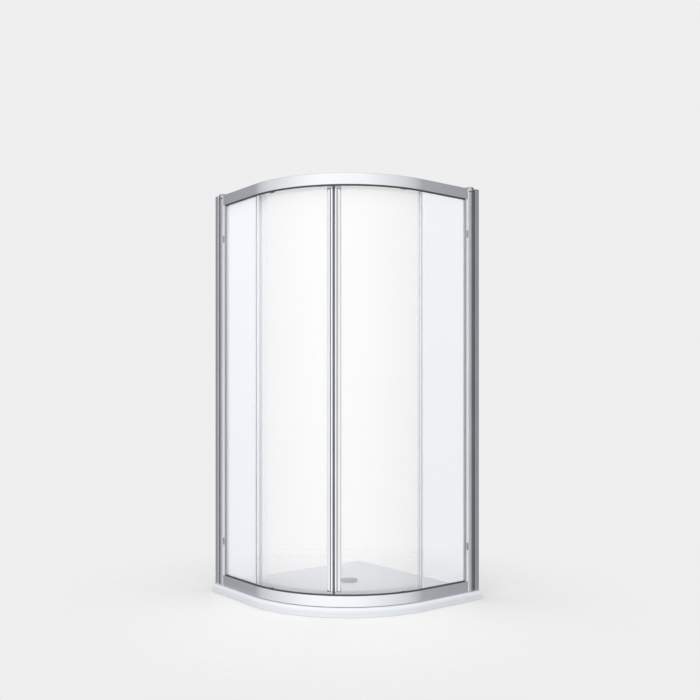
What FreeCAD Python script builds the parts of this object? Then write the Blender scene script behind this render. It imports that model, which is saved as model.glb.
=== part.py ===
import FreeCAD, Part
import math
import os

from FreeCAD import Vector

# Quadrant shower enclosure, millimetres, +Z up. The origin is the centre of the tray's
# underside. One wall stands at -X and the other at +Y, so the room's corner is at
# (-X, +Y), and the curved front looks towards (+X, -Y). The part is alike on both sides
# of the upright plane through the room's corner, so the side along -Y is made first and
# the side along +X is its mirror image.
#
# Two lengths place most sections:
#   u  depth, from the rail's outer face towards the inside of the enclosure
#   v  height, from the flat back of a rail towards its open edge
# and s is the distance from the wall along a straight side.

# ---- tray --------------------------------------------------------------------------
TRAY_SIDE = 900.0
TRAY_H = 40.0
TRAY_R = 550.0
TRAY_EDGE_R = 11.0
TRAY_FOOT_IN = 4.0
RIM_FRONT = 84.0
RIM_WALL = 30.0
FLOOR_DROP = 10.0
FLOOR_SLOPE_IN = 26.0
DISH_R = 290.0
DISH_DROP = 4.0
RECESS_CORNER_R = 40.0

# ---- waste -------------------------------------------------------------------------
WASTE_AT = 135.0
WASTE_BORE_R = 25.0
WASTE_NECK_WALL = 4.0
WASTE_HOLE_CLEAR = 1.0
WASTE_FLANGE_R = 39.0
WASTE_FLANGE_T = 2.5
WASTE_GASKET_T = 1.5
WASTE_COVER_R = 42.0
WASTE_COVER_T = 2.0
WASTE_COVER_GAP = 3.0
WASTE_COVER_DOME = 2.5
WASTE_CROWN_R = 6.0
WASTE_LEG_R = 3.0
WASTE_LEGS = 3
NUT_R = 44.0
NUT_T = 8.0
NUT_LUGS = 6
NUT_POCKET_DEPTH = 12.0
NUT_POCKET_CLEAR = 16.0

# ---- enclosure ---------------------------------------------------------------------
ENCLOSURE_H = 1850.0
CAP_RISE = 8.0
RAIL_INSET = 20.0
GLASS = 6.0

# ---- rail section ------------------------------------------------------------------
RAIL_FACE = 48.0
RAIL_WALL = 2.0
RAIL_LIP = 4.0
RAIL_CORNER_R = 1.6
RAIL_LIP_R = 0.8
FIXED_OUT = 7.0
FIXED_EDGE_V = 9.0
INNER_SEAL = 2.0
PARTITION_V = 34.0
CHANNEL_W = 16.6
TRACK_V = 25.0
BEAD_H = 1.4
BEAD_W = 1.4
SKIRT_V = 22.0
PORT_V = 4.8
PORT_R = 2.8
PORT_HOLE_R = 1.7

# ---- rail wiper --------------------------------------------------------------------
WIPER_T = 1.4
WIPER_RISE = 8.0
WIPER_ROOT_V = 40.0

# ---- posts -------------------------------------------------------------------------
CHANNEL_OUT = -2.0
CHANNEL_DEPTH = 35.0
CHANNEL_LEG = 23.0
CHANNEL_EDGE_R = 0.8
CHANNEL_RISE = 3.0
CHANNEL_CAP_T = 2.0
PLUG_INSET = 0.2
TONGUE_START = 4.0
TONGUE_OUT = 4.0
TONGUE_CLEAR = 1.0
HOOK_GAP = 0.4
HOOK_LEG = 3.0
POST_START = 33.0
POST_END = 65.0
POST_CREST = 4.0
POST_EDGE_U = 1.0
POST_DEPTH = 36.0
POST_WALL = 1.8
POST_CAP_SKIRT = 14.0
POST_CAP_WALL = 1.2
POST_CAP_GAP = 0.15
POST_CAP_EDGE_R = 1.5
WALL_HOLE_R = 2.75
WALL_HOLE_END = 120.0
WALL_HOLE_INNER = 640.0
POST_SCREWS = 3
POST_SCREW_END = 160.0

# ---- glazing -----------------------------------------------------------------------
BEAD_START_GAP = 0.3
GLAZING_BEAD = 10.4
GLAZING_WALL = 3.6
GLAZING_GAP = 0.35
BEAD_FRONT = 1.2
BEAD_EDGE_R = 0.6
BEAD_END_GAP = 0.3
GLASS_IN_BEAD = 5.5
GLAZING_GASKET = 10.0
CLIP_LENGTH = 34.0
CLIP_WIDTH = 7.6
CLIP_T = 1.6
CLIP_PEG_R = 1.2
CLIP_PEG = 3.0
PEG_CLEAR = 0.15
CLIP_END = 208.0

# ---- doors -------------------------------------------------------------------------
DOOR_EDGE_GAP = 2.0
DOOR_OVERLAP = 18.0
DOOR_TRAVEL_DEG = 24.0
LEAD_ROLLER = 60.0
TRAIL_ROLLER = 90.0
STILE_V = 46.0
STILE_CAP = 10.0
SEAL_CLEAR = 1.0
MAGNET_T = 4.3
MAGNET_GAP = 0.15
STILE_W = 25.0
STILE_PROUD = 9.0
STILE_BACK = 6.0
STILE_LAND = 8.0
GLASS_IN_STILE = 16.0
GLASS_SLOT_CLEAR = 0.35
TRAIL_FIN = 11.5
FIXED_FIN = 10.0

# ---- rollers -----------------------------------------------------------------------
WHEEL_R = 8.0
WHEEL_W = 4.0
WHEEL_GAP = 0.3
AXLE_R = 3.0
AXLE_CLEAR = 0.05
SHOULDER_R = 5.0
PAD_T = 1.0
PLATE_T = 2.5
PLATE_HALF = 18.0
NECK_HALF = 7.0
SWING = 7.5
CLAMP_V = 38.0
CLAMP_R = 4.0
CLAMP_HEAD_R = 9.0
CLAMP_HEAD_T = 3.0
CLAMP_NUT_R = 7.0
CLAMP_NUT_T = 4.5
CLAMP_GAP = 0.25
GLASS_HOLE_R = 5.0

# ---- stops and screws --------------------------------------------------------------
STOP_LENGTH = 13.0
STOP_GAP = 1.5
CONNECTOR_PLATE = 4.6
CONNECTOR_TONGUE = 38.0
CONNECTOR_CLEAR = 0.3
SCREW_R = 1.55
SCREW_HEAD_R = 3.4
SCREW_HEAD_T = 2.2
SCREW_LENGTH = 16.0

# ---- worked out from the sizes above ------------------------------------------------
HALF = TRAY_SIDE / 2
ARC_X = HALF - TRAY_R
ARC_Y = -ARC_X
FACE_Y = -HALF + RAIL_INSET
FACE_R = TRAY_R - RAIL_INSET
STRAIGHT = ARC_X + HALF
TOP = TRAY_H + ENCLOSURE_H - CAP_RISE
PARTITION_U = FIXED_OUT + GLASS + INNER_SEAL
CHANNEL_U = PARTITION_U + RAIL_WALL
DOOR_OUT = CHANNEL_U + CHANNEL_W + BEAD_W
DOOR_IN = DOOR_OUT + GLASS
DOOR_R = FACE_R - DOOR_OUT - GLASS / 2
DOOR_EDGE_V = TRACK_V + RAIL_WALL + DOOR_EDGE_GAP
PLATE_U = DOOR_IN + PAD_T
SKIRT_U = PLATE_U + PLATE_T + SWING
RAIL_DEPTH = SKIRT_U + RAIL_WALL
WHEEL_U = CHANNEL_U + CHANNEL_W / 2
AXLE_V = TRACK_V - WHEEL_R - WHEEL_GAP
TRACK_R = FACE_R - WHEEL_U
RAIL_START = POST_END + CONNECTOR_PLATE + 0.1
BEAD_START = POST_END + BEAD_START_GAP
BEAD_END = BEAD_START + GLAZING_BEAD
GLASS_START = BEAD_END - GLASS_IN_BEAD
GASKET_END = BEAD_END + GLAZING_GASKET
GLASS_END = STRAIGHT - 2.0
SEAL_V = RAIL_FACE + WIPER_RISE + SEAL_CLEAR
BEAD_NOSE = FIXED_OUT - GLAZING_WALL + 0.8
WASTE_NECK_R = WASTE_BORE_R + WASTE_NECK_WALL
DISH_Z = TRAY_H - FLOOR_DROP - DISH_DROP
LEAD_DEG = 45.0 - math.degrees(LEAD_ROLLER / DOOR_R)
EDGE_DEG = -math.degrees(DOOR_OVERLAP / DOOR_R)
TRAIL_DEG = EDGE_DEG + math.degrees(TRAIL_ROLLER / DOOR_R)
UP = Vector(0, 0, 1)
ARC_AXIS = Vector(ARC_X, ARC_Y, 0)


# ---- drawing helpers ----------------------------------------------------------------
def low(v):
    """Height of v above the tray, for what belongs to the bottom rail."""
    return TRAY_H + v


def high(v):
    """Height of v below the top rail's back, for what belongs to the top rail."""
    return TOP - v


def drop(t):
    """How far the door's arc falls inwards at a distance t from the tangent point."""
    return DOOR_R - math.sqrt(DOOR_R * DOOR_R - t * t)


def rounded_wire(corners, place):
    """Closed wire through (a, b) or (a, b, radius) corners; place turns a, b into a point."""
    flat = [Vector(c[0], c[1], 0) for c in corners]
    radii = [c[2] if len(c) > 2 else 0.0 for c in corners]
    pieces = []
    for i, here in enumerate(flat):
        back = (flat[i - 1] - here).normalize()
        on = (flat[(i + 1) % len(flat)] - here).normalize()
        if radii[i] == 0.0:
            pieces.append((here, None, here))
            continue
        half = back.getAngle(on) / 2
        reach = radii[i] / math.tan(half)
        inward = (back + on).normalize()
        middle = here + inward * (radii[i] / math.sin(half) - radii[i])
        pieces.append((here + back * reach, middle, here + on * reach))
    edges = []
    for i, (start, middle, end) in enumerate(pieces):
        if middle is not None:
            ends = [place(p.x, p.y) for p in (start, middle, end)]
            edges.append(Part.Arc(*ends).toShape())
        follow = pieces[(i + 1) % len(pieces)][0]
        if (follow - end).Length > 1e-6:
            edges.append(Part.LineSegment(place(end.x, end.y), place(follow.x, follow.y)).toShape())
    return Part.Wire(edges)


def ring_face(outer, *inner):
    """Face inside the outer wire with each inner wire left open."""
    return Part.makeFace([outer] + list(inner), "Part::FaceMakerBullseye")


def upright(corners, z0, z1):
    """Extrusion standing on the left side: corners in (s, u), from z0 to z1."""
    wire = rounded_wire(corners, lambda s, u: Vector(s - HALF, FACE_Y + u, z0))
    return Part.Face(wire).extrude(Vector(0, 0, z1 - z0))


def along_side(corners, z_of, s0, s1):
    """Extrusion lying along the left side: corners in (u, v), from s0 to s1."""
    wire = rounded_wire(corners, lambda u, v: Vector(s0 - HALF, FACE_Y + u, z_of(v)))
    return Part.Face(wire).extrude(Vector(s1 - s0, 0, 0))


def mirrored(shape):
    """The same piece on the other side of the enclosure."""
    return shape.mirror(Vector(0, 0, 0), Vector(1, 1, 0))


def to_station(shape, degrees):
    """Turns a piece drawn at the start of the arc to its place along the arc."""
    turned = shape.copy()
    turned.rotate(ARC_AXIS, UP, degrees)
    return turned


def station_point(t, u, z):
    """Point at the start of the arc: t along the tangent, u inwards."""
    return Vector(ARC_X + t, FACE_Y + u, z)


def at_station(corners, z0, z1, degrees):
    """Upright extrusion with corners in (t, u), turned to its place along the arc."""
    wire = rounded_wire(corners, lambda t, u: station_point(t, u, z0))
    return to_station(Part.Face(wire).extrude(Vector(0, 0, z1 - z0)), degrees)


def radial_turning(steps, z, degrees):
    """Turned piece on a radial axis; steps are (u, radius) pairs of its outline."""
    ends = [(steps[0][0], 0.0)] + list(steps) + [(steps[-1][0], 0.0)]
    points = [station_point(r, u, z) for u, r in ends]
    wire = Part.makePolygon(points + [points[0]])
    solid = Part.Face(wire).revolve(station_point(0, 0, z), Vector(0, 1, 0), 360)
    return to_station(solid, degrees)


def radial_hole(radius, u0, u1, z, degrees):
    """Round cutter on a radial axis."""
    return radial_turning([(u0, radius), (u1, radius)], z, degrees)


def bent(sections, z_of, start):
    """One bent length: straight, quarter arc, straight; the first section is the outline."""
    place = lambda u, v: Vector(ARC_X, FACE_Y + u, z_of(v))
    outer, holes = sections[0], sections[1:]
    face = ring_face(rounded_wire(outer, place), *[circle_wire(hole, z_of) for hole in holes])
    arc = face.revolve(ARC_AXIS, UP, 90)
    side = face.extrude(Vector(start - STRAIGHT, 0, 0))
    return side.fuse([arc, mirrored(side)]).removeSplitter()


def circle_wire(hole, z_of):
    """Wire of a round hole in a rail section, given as (u, v, radius)."""
    centre = Vector(ARC_X, FACE_Y + hole[0], z_of(hole[1]))
    return Part.Wire([Part.Circle(centre, Vector(1, 0, 0), hole[2]).toShape()])


def quadrant_wire(front, wall, z, corner=0.0):
    """Outline of the tray's shape, drawn in by front and by wall."""
    left = -HALF + wall
    near = -HALF + front
    radius = TRAY_R - front
    slant = radius * math.sqrt(0.5)
    far = HALF - front
    points = [
        Vector(left, near, z),
        Vector(ARC_X, near, z),
        Vector(ARC_X + slant, ARC_Y - slant, z),
        Vector(far, ARC_Y, z),
        Vector(far, HALF - wall, z),
        Vector(left, HALF - wall, z),
    ]
    if corner == 0.0:
        edges = [
            Part.LineSegment(points[0], points[1]).toShape(),
            Part.Arc(points[1], points[2], points[3]).toShape(),
            Part.LineSegment(points[3], points[4]).toShape(),
            Part.LineSegment(points[4], points[5]).toShape(),
            Part.LineSegment(points[5], points[0]).toShape(),
        ]
        return Part.Wire(edges)
    cut = corner * (1 - math.sqrt(0.5))
    x_in, y_in = Vector(corner, 0, 0), Vector(0, corner, 0)
    a, b, c, d = points[0], points[3], points[4], points[5]
    edges = [
        Part.LineSegment(a + x_in, points[1]).toShape(),
        Part.Arc(points[1], points[2], b).toShape(),
        Part.LineSegment(b, c - y_in).toShape(),
        Part.Arc(c - y_in, c + Vector(-cut, -cut, 0), c - x_in).toShape(),
        Part.LineSegment(c - x_in, d + x_in).toShape(),
        Part.Arc(d + x_in, d + Vector(cut, -cut, 0), d - y_in).toShape(),
        Part.LineSegment(d - y_in, a + y_in).toShape(),
        Part.Arc(a + y_in, a + Vector(cut, cut, 0), a + x_in).toShape(),
    ]
    return Part.Wire(edges)


def waste_point(z):
    return Vector(-WASTE_AT, WASTE_AT, z)


def waste_disc(radius, z0, z1):
    return Part.makeCylinder(radius, z1 - z0, waste_point(z0))


def waste_ring(outer, inner, z0, z1):
    return waste_disc(outer, z0, z1).cut(waste_disc(inner, z0, z1))


# ---- tray and waste -----------------------------------------------------------------
def shower_tray():
    foot = Part.Face(quadrant_wire(TRAY_FOOT_IN, 0.0, 0.0)).extrude(Vector(0, 0, TRAY_H / 2))
    upper = Part.Face(quadrant_wire(0.0, 0.0, TRAY_H / 2)).extrude(Vector(0, 0, TRAY_H / 2))
    body = foot.fuse(upper).removeSplitter()
    front_edges = [e for e in body.Edges if is_front_edge(e)]
    body = body.makeFillet(TRAY_EDGE_R, front_edges)
    rim = quadrant_wire(RIM_FRONT, RIM_WALL, TRAY_H, RECESS_CORNER_R)
    inner = FLOOR_SLOPE_IN
    floor = quadrant_wire(RIM_FRONT + inner, RIM_WALL + inner, TRAY_H - FLOOR_DROP, RECESS_CORNER_R)
    body = body.cut(Part.makeLoft([rim, floor], True, True))
    dish = Part.makeCone(WASTE_COVER_R + 4.0, DISH_R, DISH_DROP, waste_point(DISH_Z))
    body = body.cut(dish)
    pocket_r = NUT_R + NUT_POCKET_CLEAR
    body = body.cut(waste_disc(pocket_r, 0.0, NUT_POCKET_DEPTH))
    return body.cut(waste_disc(WASTE_NECK_R + WASTE_HOLE_CLEAR, 0.0, TRAY_H))


def is_front_edge(edge):
    """True for the top edges of the tray that face the room."""
    box = edge.BoundBox
    at_top = box.ZMin > TRAY_H - 0.01
    on_wall = box.XMax < 0.01 - HALF or box.YMin > HALF - 0.01
    return at_top and not on_wall


def waste_body():
    seat = DISH_Z + WASTE_GASKET_T
    flange = waste_ring(WASTE_FLANGE_R, WASTE_BORE_R, seat, seat + WASTE_FLANGE_T)
    neck = waste_ring(WASTE_NECK_R, WASTE_BORE_R, 1.0, seat)
    body = flange.fuse(neck).removeSplitter()
    rim = [e for e in body.Edges if abs(e.BoundBox.ZMin - seat - WASTE_FLANGE_T) < 0.01]
    outer = [e for e in rim if e.BoundBox.XLength > 2 * WASTE_FLANGE_R - 1.0]
    return body.makeFillet(WASTE_FLANGE_T / 2, outer)


def waste_gasket():
    inner = WASTE_NECK_R + 0.2
    return waste_ring(WASTE_FLANGE_R - 1.0, inner, DISH_Z, DISH_Z + WASTE_GASKET_T)


def waste_clamp_nut():
    top = NUT_POCKET_DEPTH
    body = waste_disc(NUT_R - 4.0, top - NUT_T, top)
    for i in range(NUT_LUGS):
        angle = math.radians(360.0 * i / NUT_LUGS)
        at = waste_point(top - NUT_T) + Vector(math.cos(angle), math.sin(angle), 0) * (NUT_R - 6.0)
        body = body.fuse(Part.makeCylinder(6.0, NUT_T, at))
    return body.cut(waste_disc(WASTE_NECK_R + 0.1, 0.0, top)).removeSplitter()


def waste_cover():
    """Domed cover on three legs; a small flat at its crown keeps the dome clean."""
    base = DISH_Z + WASTE_GASKET_T + WASTE_FLANGE_T
    z0 = base + WASTE_COVER_GAP
    crown = z0 + WASTE_COVER_DOME
    halfway = (WASTE_COVER_R + WASTE_CROWN_R) / 2
    bow = z0 + WASTE_COVER_DOME * 0.7
    up = Vector(0, 0, WASTE_COVER_T)
    axis_low, flat_low = Vector(0, 0, crown), Vector(WASTE_CROWN_R, 0, crown)
    mid_low, edge_low = Vector(halfway, 0, bow), Vector(WASTE_COVER_R, 0, z0)
    outline = Part.Wire([
        Part.LineSegment(axis_low + up, flat_low + up).toShape(),
        Part.Arc(flat_low + up, mid_low + up, edge_low + up).toShape(),
        Part.LineSegment(edge_low + up, edge_low).toShape(),
        Part.Arc(edge_low, mid_low, flat_low).toShape(),
        Part.LineSegment(flat_low, axis_low).toShape(),
        Part.LineSegment(axis_low, axis_low + up).toShape(),
    ])
    cover = Part.Face(outline).revolve(Vector(0, 0, 0), UP, 360)
    cover.translate(waste_point(0))
    reach = (WASTE_BORE_R + WASTE_FLANGE_R) / 2
    for i in range(WASTE_LEGS):
        angle = math.radians(360.0 * i / WASTE_LEGS)
        at = waste_point(base) + Vector(math.cos(angle), math.sin(angle), 0) * reach
        cover = cover.fuse(Part.makeCylinder(WASTE_LEG_R, WASTE_COVER_GAP + 1.5, at))
    return cover.removeSplitter()


# ---- rails and their wipers ---------------------------------------------------------
def rail_outline():
    inside = RAIL_WALL
    lip_end = TRACK_V + RAIL_WALL
    return [
        (0, 0, RAIL_CORNER_R),
        (0, RAIL_FACE, RAIL_LIP_R),
        (RAIL_LIP, RAIL_FACE),
        (RAIL_LIP, RAIL_FACE - RAIL_WALL),
        (inside, RAIL_FACE - RAIL_WALL),
        (inside, inside),
        (PARTITION_U, inside),
        (PARTITION_U, PARTITION_V),
        (CHANNEL_U, PARTITION_V),
        (CHANNEL_U, lip_end),
        (DOOR_OUT, lip_end),
        (DOOR_OUT, TRACK_V - BEAD_H),
        (DOOR_OUT - BEAD_W, TRACK_V - BEAD_H),
        (DOOR_OUT - BEAD_W, TRACK_V),
        (CHANNEL_U, TRACK_V),
        (CHANNEL_U, inside),
        (SKIRT_U, inside),
        (SKIRT_U, SKIRT_V),
        (RAIL_DEPTH, SKIRT_V),
        (RAIL_DEPTH, 0, RAIL_CORNER_R),
    ]


def screw_port_places():
    """Depths of the two screw ports, each grown from the rail's back wall."""
    return [RAIL_WALL + PORT_R, CHANNEL_U + PORT_R]


def rail(z_of):
    shape = bent([rail_outline()], z_of, RAIL_START)
    ports = [bent([port_outline(u), (u, PORT_V, PORT_HOLE_R)], z_of, RAIL_START)
             for u in screw_port_places()]
    return shape.fuse(ports).removeSplitter()


def port_outline(u):
    """Square boss round a screw port."""
    base = RAIL_WALL / 2
    far = PORT_V + PORT_R
    left = u - PORT_R - RAIL_WALL / 2
    right = u + PORT_R
    return [(left, base), (left, far), (right, far), (right, base)]


def rail_wiper(z_of):
    root = RAIL_LIP + 0.2
    back = root + WIPER_T
    edge = RAIL_FACE + 0.2
    lip = FIXED_OUT - 0.3
    outline = [
        (root, WIPER_ROOT_V),
        (back, WIPER_ROOT_V),
        (back, edge),
        (lip, RAIL_FACE + WIPER_RISE),
        (lip - WIPER_T, RAIL_FACE + WIPER_RISE),
        (RAIL_WALL, edge + WIPER_T),
        (RAIL_WALL, edge),
        (root, edge),
    ]
    return bent([outline], z_of, GASKET_END + 0.3)


# ---- wall channel, post and their caps ----------------------------------------------
def wall_channel():
    """Channel screwed to the wall; its outer leg turns in towards the post's tongue."""
    u0, u1 = CHANNEL_OUT, CHANNEL_OUT + CHANNEL_DEPTH
    wall = RAIL_WALL
    leg = CHANNEL_LEG
    turned_in = TONGUE_OUT - HOOK_GAP
    hook = u1 - wall - TONGUE_CLEAR + HOOK_GAP
    outline = [
        (0, u0, CHANNEL_EDGE_R),
        (leg, u0, CHANNEL_EDGE_R),
        (leg, turned_in),
        (leg - wall, turned_in),
        (leg - wall, u0 + wall),
        (wall, u0 + wall),
        (wall, u1 - wall),
        (leg - HOOK_LEG, u1 - wall),
        (leg - HOOK_LEG, hook),
        (leg, hook),
        (leg, u1, CHANNEL_EDGE_R),
        (0, u1, CHANNEL_EDGE_R),
    ]
    body = upright(outline, TRAY_H, TOP + CHANNEL_RISE - CHANNEL_CAP_T)
    middle = CHANNEL_OUT + CHANNEL_DEPTH / 2
    for z in wall_hole_heights():
        at = Vector(-HALF - 1.0, FACE_Y + middle, z)
        body = body.cut(Part.makeCylinder(WALL_HOLE_R, wall + 2.0, at, Vector(1, 0, 0)))
    for z in post_screw_heights():
        at = Vector(post_screw_s() - HALF, FACE_Y + u1 - wall - 1.0, z)
        body = body.cut(Part.makeCylinder(SCREW_R + 0.1, wall + 2.0, at, Vector(0, 1, 0)))
    return body


def wall_hole_heights():
    """Two pairs of screw holes into the wall, alike about the middle of the channel."""
    ends = [WALL_HOLE_END, WALL_HOLE_INNER]
    return [low(end) for end in ends] + [high(end) for end in ends]


def post_screw_heights():
    first, last = low(POST_SCREW_END), high(POST_SCREW_END)
    step = (last - first) / (POST_SCREWS - 1)
    return [first + i * step for i in range(POST_SCREWS)]


def post_screw_s():
    return (TONGUE_START + CHANNEL_LEG) / 2 + 1.0


def channel_cap():
    u0, u1 = CHANNEL_OUT, CHANNEL_OUT + CHANNEL_DEPTH
    z0 = TOP + CHANNEL_RISE - CHANNEL_CAP_T
    edge = CHANNEL_EDGE_R
    plate = upright([(0, u0, edge), (CHANNEL_LEG, u0, edge), (CHANNEL_LEG, u1, edge), (0, u1, edge)],
                    z0, z0 + CHANNEL_CAP_T)
    depth = z0 - TOP - HOOK_GAP
    inset = RAIL_WALL + PLUG_INSET
    far = CHANNEL_LEG - HOOK_LEG - PLUG_INSET
    plug = upright([(inset, u0 + inset), (far, u0 + inset), (far, u1 - inset), (inset, u1 - inset)],
                   z0 - depth, z0)
    return plate.fuse(plug).removeSplitter()


def post_wire(z, grow):
    """Outline of the post, tongue included; grow offsets the outline outwards."""
    t0 = TONGUE_OUT
    t1 = tongue_back()
    half = (POST_END - POST_START) / 2
    rise = POST_EDGE_U + POST_CREST
    radius = (half * half + rise * rise) / (2 * rise)
    s_mid, u_mid = POST_START + half, radius - POST_CREST
    reach = half + grow
    edge = u_mid - math.sqrt((radius + grow) ** 2 - reach ** 2)
    a, b = s_mid - reach, s_mid + reach
    s0 = TONGUE_START - grow
    place = lambda s, u: Vector(s - HALF, FACE_Y + u, z)
    start, end = place(a, edge), place(b, edge)
    crest = place(s_mid, -POST_CREST - grow)
    path = [
        end,
        place(b, POST_DEPTH + grow),
        place(a, POST_DEPTH + grow),
        place(a, t1 + grow),
        place(s0, t1 + grow),
        place(s0, t0 - grow),
        place(a, t0 - grow),
        start,
    ]
    edges = [Part.Arc(start, crest, end).toShape()]
    for here, there in zip(path, path[1:]):
        edges.append(Part.LineSegment(here, there).toShape())
    return Part.Wire(edges)


def tongue_back():
    """Depth of the tongue's inner face, just clear of the wall channel's inner leg."""
    return CHANNEL_OUT + CHANNEL_DEPTH - RAIL_WALL - TONGUE_CLEAR


def side_post():
    outer = post_wire(TRAY_H, 0.0)
    inner = post_wire(TRAY_H, -POST_WALL)
    body = ring_face(outer, inner).extrude(Vector(0, 0, TOP - TRAY_H))
    cutters = []
    for z_of in (low, high):
        for u in screw_port_places():
            at = Vector(POST_END - POST_WALL - 1.0 - HALF, FACE_Y + u, z_of(PORT_V))
            cutters.append(Part.makeCylinder(SCREW_R + 0.1, POST_WALL + 2.0, at, Vector(1, 0, 0)))
    t1 = tongue_back()
    for z in post_screw_heights():
        at = Vector(post_screw_s() - HALF, FACE_Y + t1 - POST_WALL - 1.0, z)
        cutters.append(Part.makeCylinder(SCREW_R + 0.1, POST_WALL + 2.0, at, Vector(0, 1, 0)))
    return body.cut(cutters)


def post_cap():
    """Cap that sleeves over the post's front and room sides, clear of rail and channel."""
    grow = POST_CAP_GAP + POST_CAP_WALL
    plate = Part.Face(post_wire(TOP, grow)).extrude(Vector(0, 0, CAP_RISE))
    z0 = TOP - POST_CAP_SKIRT
    skirt = ring_face(post_wire(z0, grow), post_wire(z0, POST_CAP_GAP))
    skirt = skirt.extrude(Vector(0, 0, POST_CAP_SKIRT))
    width = POST_END - POST_START - 0.2
    depth = POST_DEPTH + 20.0
    corner = Vector(POST_START + 0.1 - HALF, FACE_Y - 10.0, z0)
    room = Part.makeBox(width, depth, POST_CAP_SKIRT + CAP_RISE, corner)
    body = plate.fuse(skirt).common(room).removeSplitter()
    rim = [e for e in body.Edges if e.BoundBox.ZMin > TOP + CAP_RISE - 0.01]
    return body.makeFillet(POST_CAP_EDGE_R, rim)


# ---- fixed glazing ------------------------------------------------------------------
def fixed_glass():
    u0, u1 = FIXED_OUT, FIXED_OUT + GLASS
    outline = [(GLASS_START, u0), (GLASS_END, u0), (GLASS_END, u1), (GLASS_START, u1)]
    return upright(outline, low(FIXED_EDGE_V), high(FIXED_EDGE_V))


def glazing_bead():
    gap = GLAZING_GAP
    s0, s1 = BEAD_START, BEAD_END
    slot = GLASS_START - gap
    back = FIXED_OUT + GLASS + GLAZING_WALL
    outline = [
        (s0, BEAD_FRONT, BEAD_EDGE_R),
        (s1, BEAD_NOSE, BEAD_EDGE_R),
        (s1, FIXED_OUT - gap),
        (slot, FIXED_OUT - gap),
        (slot, FIXED_OUT + GLASS + gap),
        (s1, FIXED_OUT + GLASS + gap),
        (s1, back, BEAD_EDGE_R),
        (s0, back, BEAD_EDGE_R),
    ]
    end = RAIL_FACE + BEAD_END_GAP
    body = upright(outline, low(end), high(end))
    for z in clip_heights():
        at = Vector((s0 + s1) / 2 - HALF, FACE_Y, z)
        hole_r = CLIP_PEG_R + PEG_CLEAR
        body = body.cut(Part.makeCylinder(hole_r, FIXED_OUT - gap, at, Vector(0, 1, 0)))
    return body


def clip_heights():
    return [low(CLIP_END), high(CLIP_END)]


def glazing_clip(z):
    """Long rounded cover, seated on the bead's slope, with a peg into the bead."""
    s_mid = (BEAD_START + BEAD_END) / 2
    slope = math.degrees(math.atan2(BEAD_NOSE - BEAD_FRONT, GLAZING_BEAD))
    half_l, half_w = CLIP_LENGTH / 2, CLIP_WIDTH / 2
    wire = rounded_wire([(-half_w, -half_l, half_w * 0.98), (half_w, -half_l, half_w * 0.98),
                         (half_w, half_l, half_w * 0.98), (-half_w, half_l, half_w * 0.98)],
                        lambda a, b: Vector(a, 0, b))
    pad = Part.Face(wire).extrude(Vector(0, -CLIP_T, 0))
    front = [e for e in pad.Edges if e.BoundBox.YMax < 0.01 - CLIP_T]
    pad = pad.makeFillet(CLIP_T * 0.45, front)
    pad.rotate(Vector(0, 0, 0), UP, slope)
    pad = pad.fuse(Part.makeCylinder(CLIP_PEG_R, CLIP_PEG, Vector(0, -0.3, 0), Vector(0, 1, 0)))
    pad.translate(Vector(s_mid - HALF, FACE_Y + (BEAD_FRONT + BEAD_NOSE) / 2 - 0.02, z))
    return pad.removeSplitter()


def glazing_gasket():
    s0, s1 = BEAD_END + 0.02, GASKET_END
    u0, u1 = FIXED_OUT, FIXED_OUT + GLASS
    z0, z1 = low(RAIL_FACE + BEAD_END_GAP), high(RAIL_FACE + BEAD_END_GAP)
    front = [(s0, u0 - 2.6, 0.5), (s1 - 4.0, u0 - 1.9, 1.0), (s1, u0 - 0.4, 0.2), (s1, u0), (s0, u0)]
    back = [(s0, u1), (s1, u1), (s1, u1 + 0.4, 0.2), (s1 - 4.0, u1 + 1.9, 1.0), (s0, u1 + 2.6, 0.5)]
    return [upright(front, z0, z1), upright(back, z0, z1)]


def fixed_edge_seal():
    """Clear strip pushed on the free edge of the fixed glass, with a fin towards the door."""
    gap = 0.05
    wall = 1.3
    u0, u1 = FIXED_OUT, FIXED_OUT + GLASS
    s0, s1 = GLASS_END - 12.0, GLASS_END + 2.0
    outline = [
        (s0, u0 - gap),
        (s0, u0 - gap - wall, 0.5),
        (s1, u0 - gap - wall, 0.5),
        (s1, u1 + FIXED_FIN),
        (s1 - 1.1, u1 + FIXED_FIN),
        (s1 - 1.7, u1 + gap + wall),
        (s0, u1 + gap + wall, 0.5),
        (s0, u1 + gap),
        (GLASS_END + gap, u1 + gap),
        (GLASS_END + gap, u0 - gap),
    ]
    return upright(outline, low(SEAL_V), high(SEAL_V))


def inner_glass_seals():
    """Bulb strips that wedge the fixed glass against the rail's partition."""
    u0, u1 = FIXED_OUT + GLASS, PARTITION_U
    outline = [
        (u0, PARTITION_V - 20.0),
        (u1, PARTITION_V - 20.0),
        (u1, PARTITION_V),
        (u1 + 1.6, PARTITION_V, 0.4),
        (u1 + 1.2, PARTITION_V + 2.2, 0.5),
        (u0, PARTITION_V + 4.6, 0.4),
    ]
    return [along_side(outline, z_of, RAIL_START, GLASS_END) for z_of in (low, high)]


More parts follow.
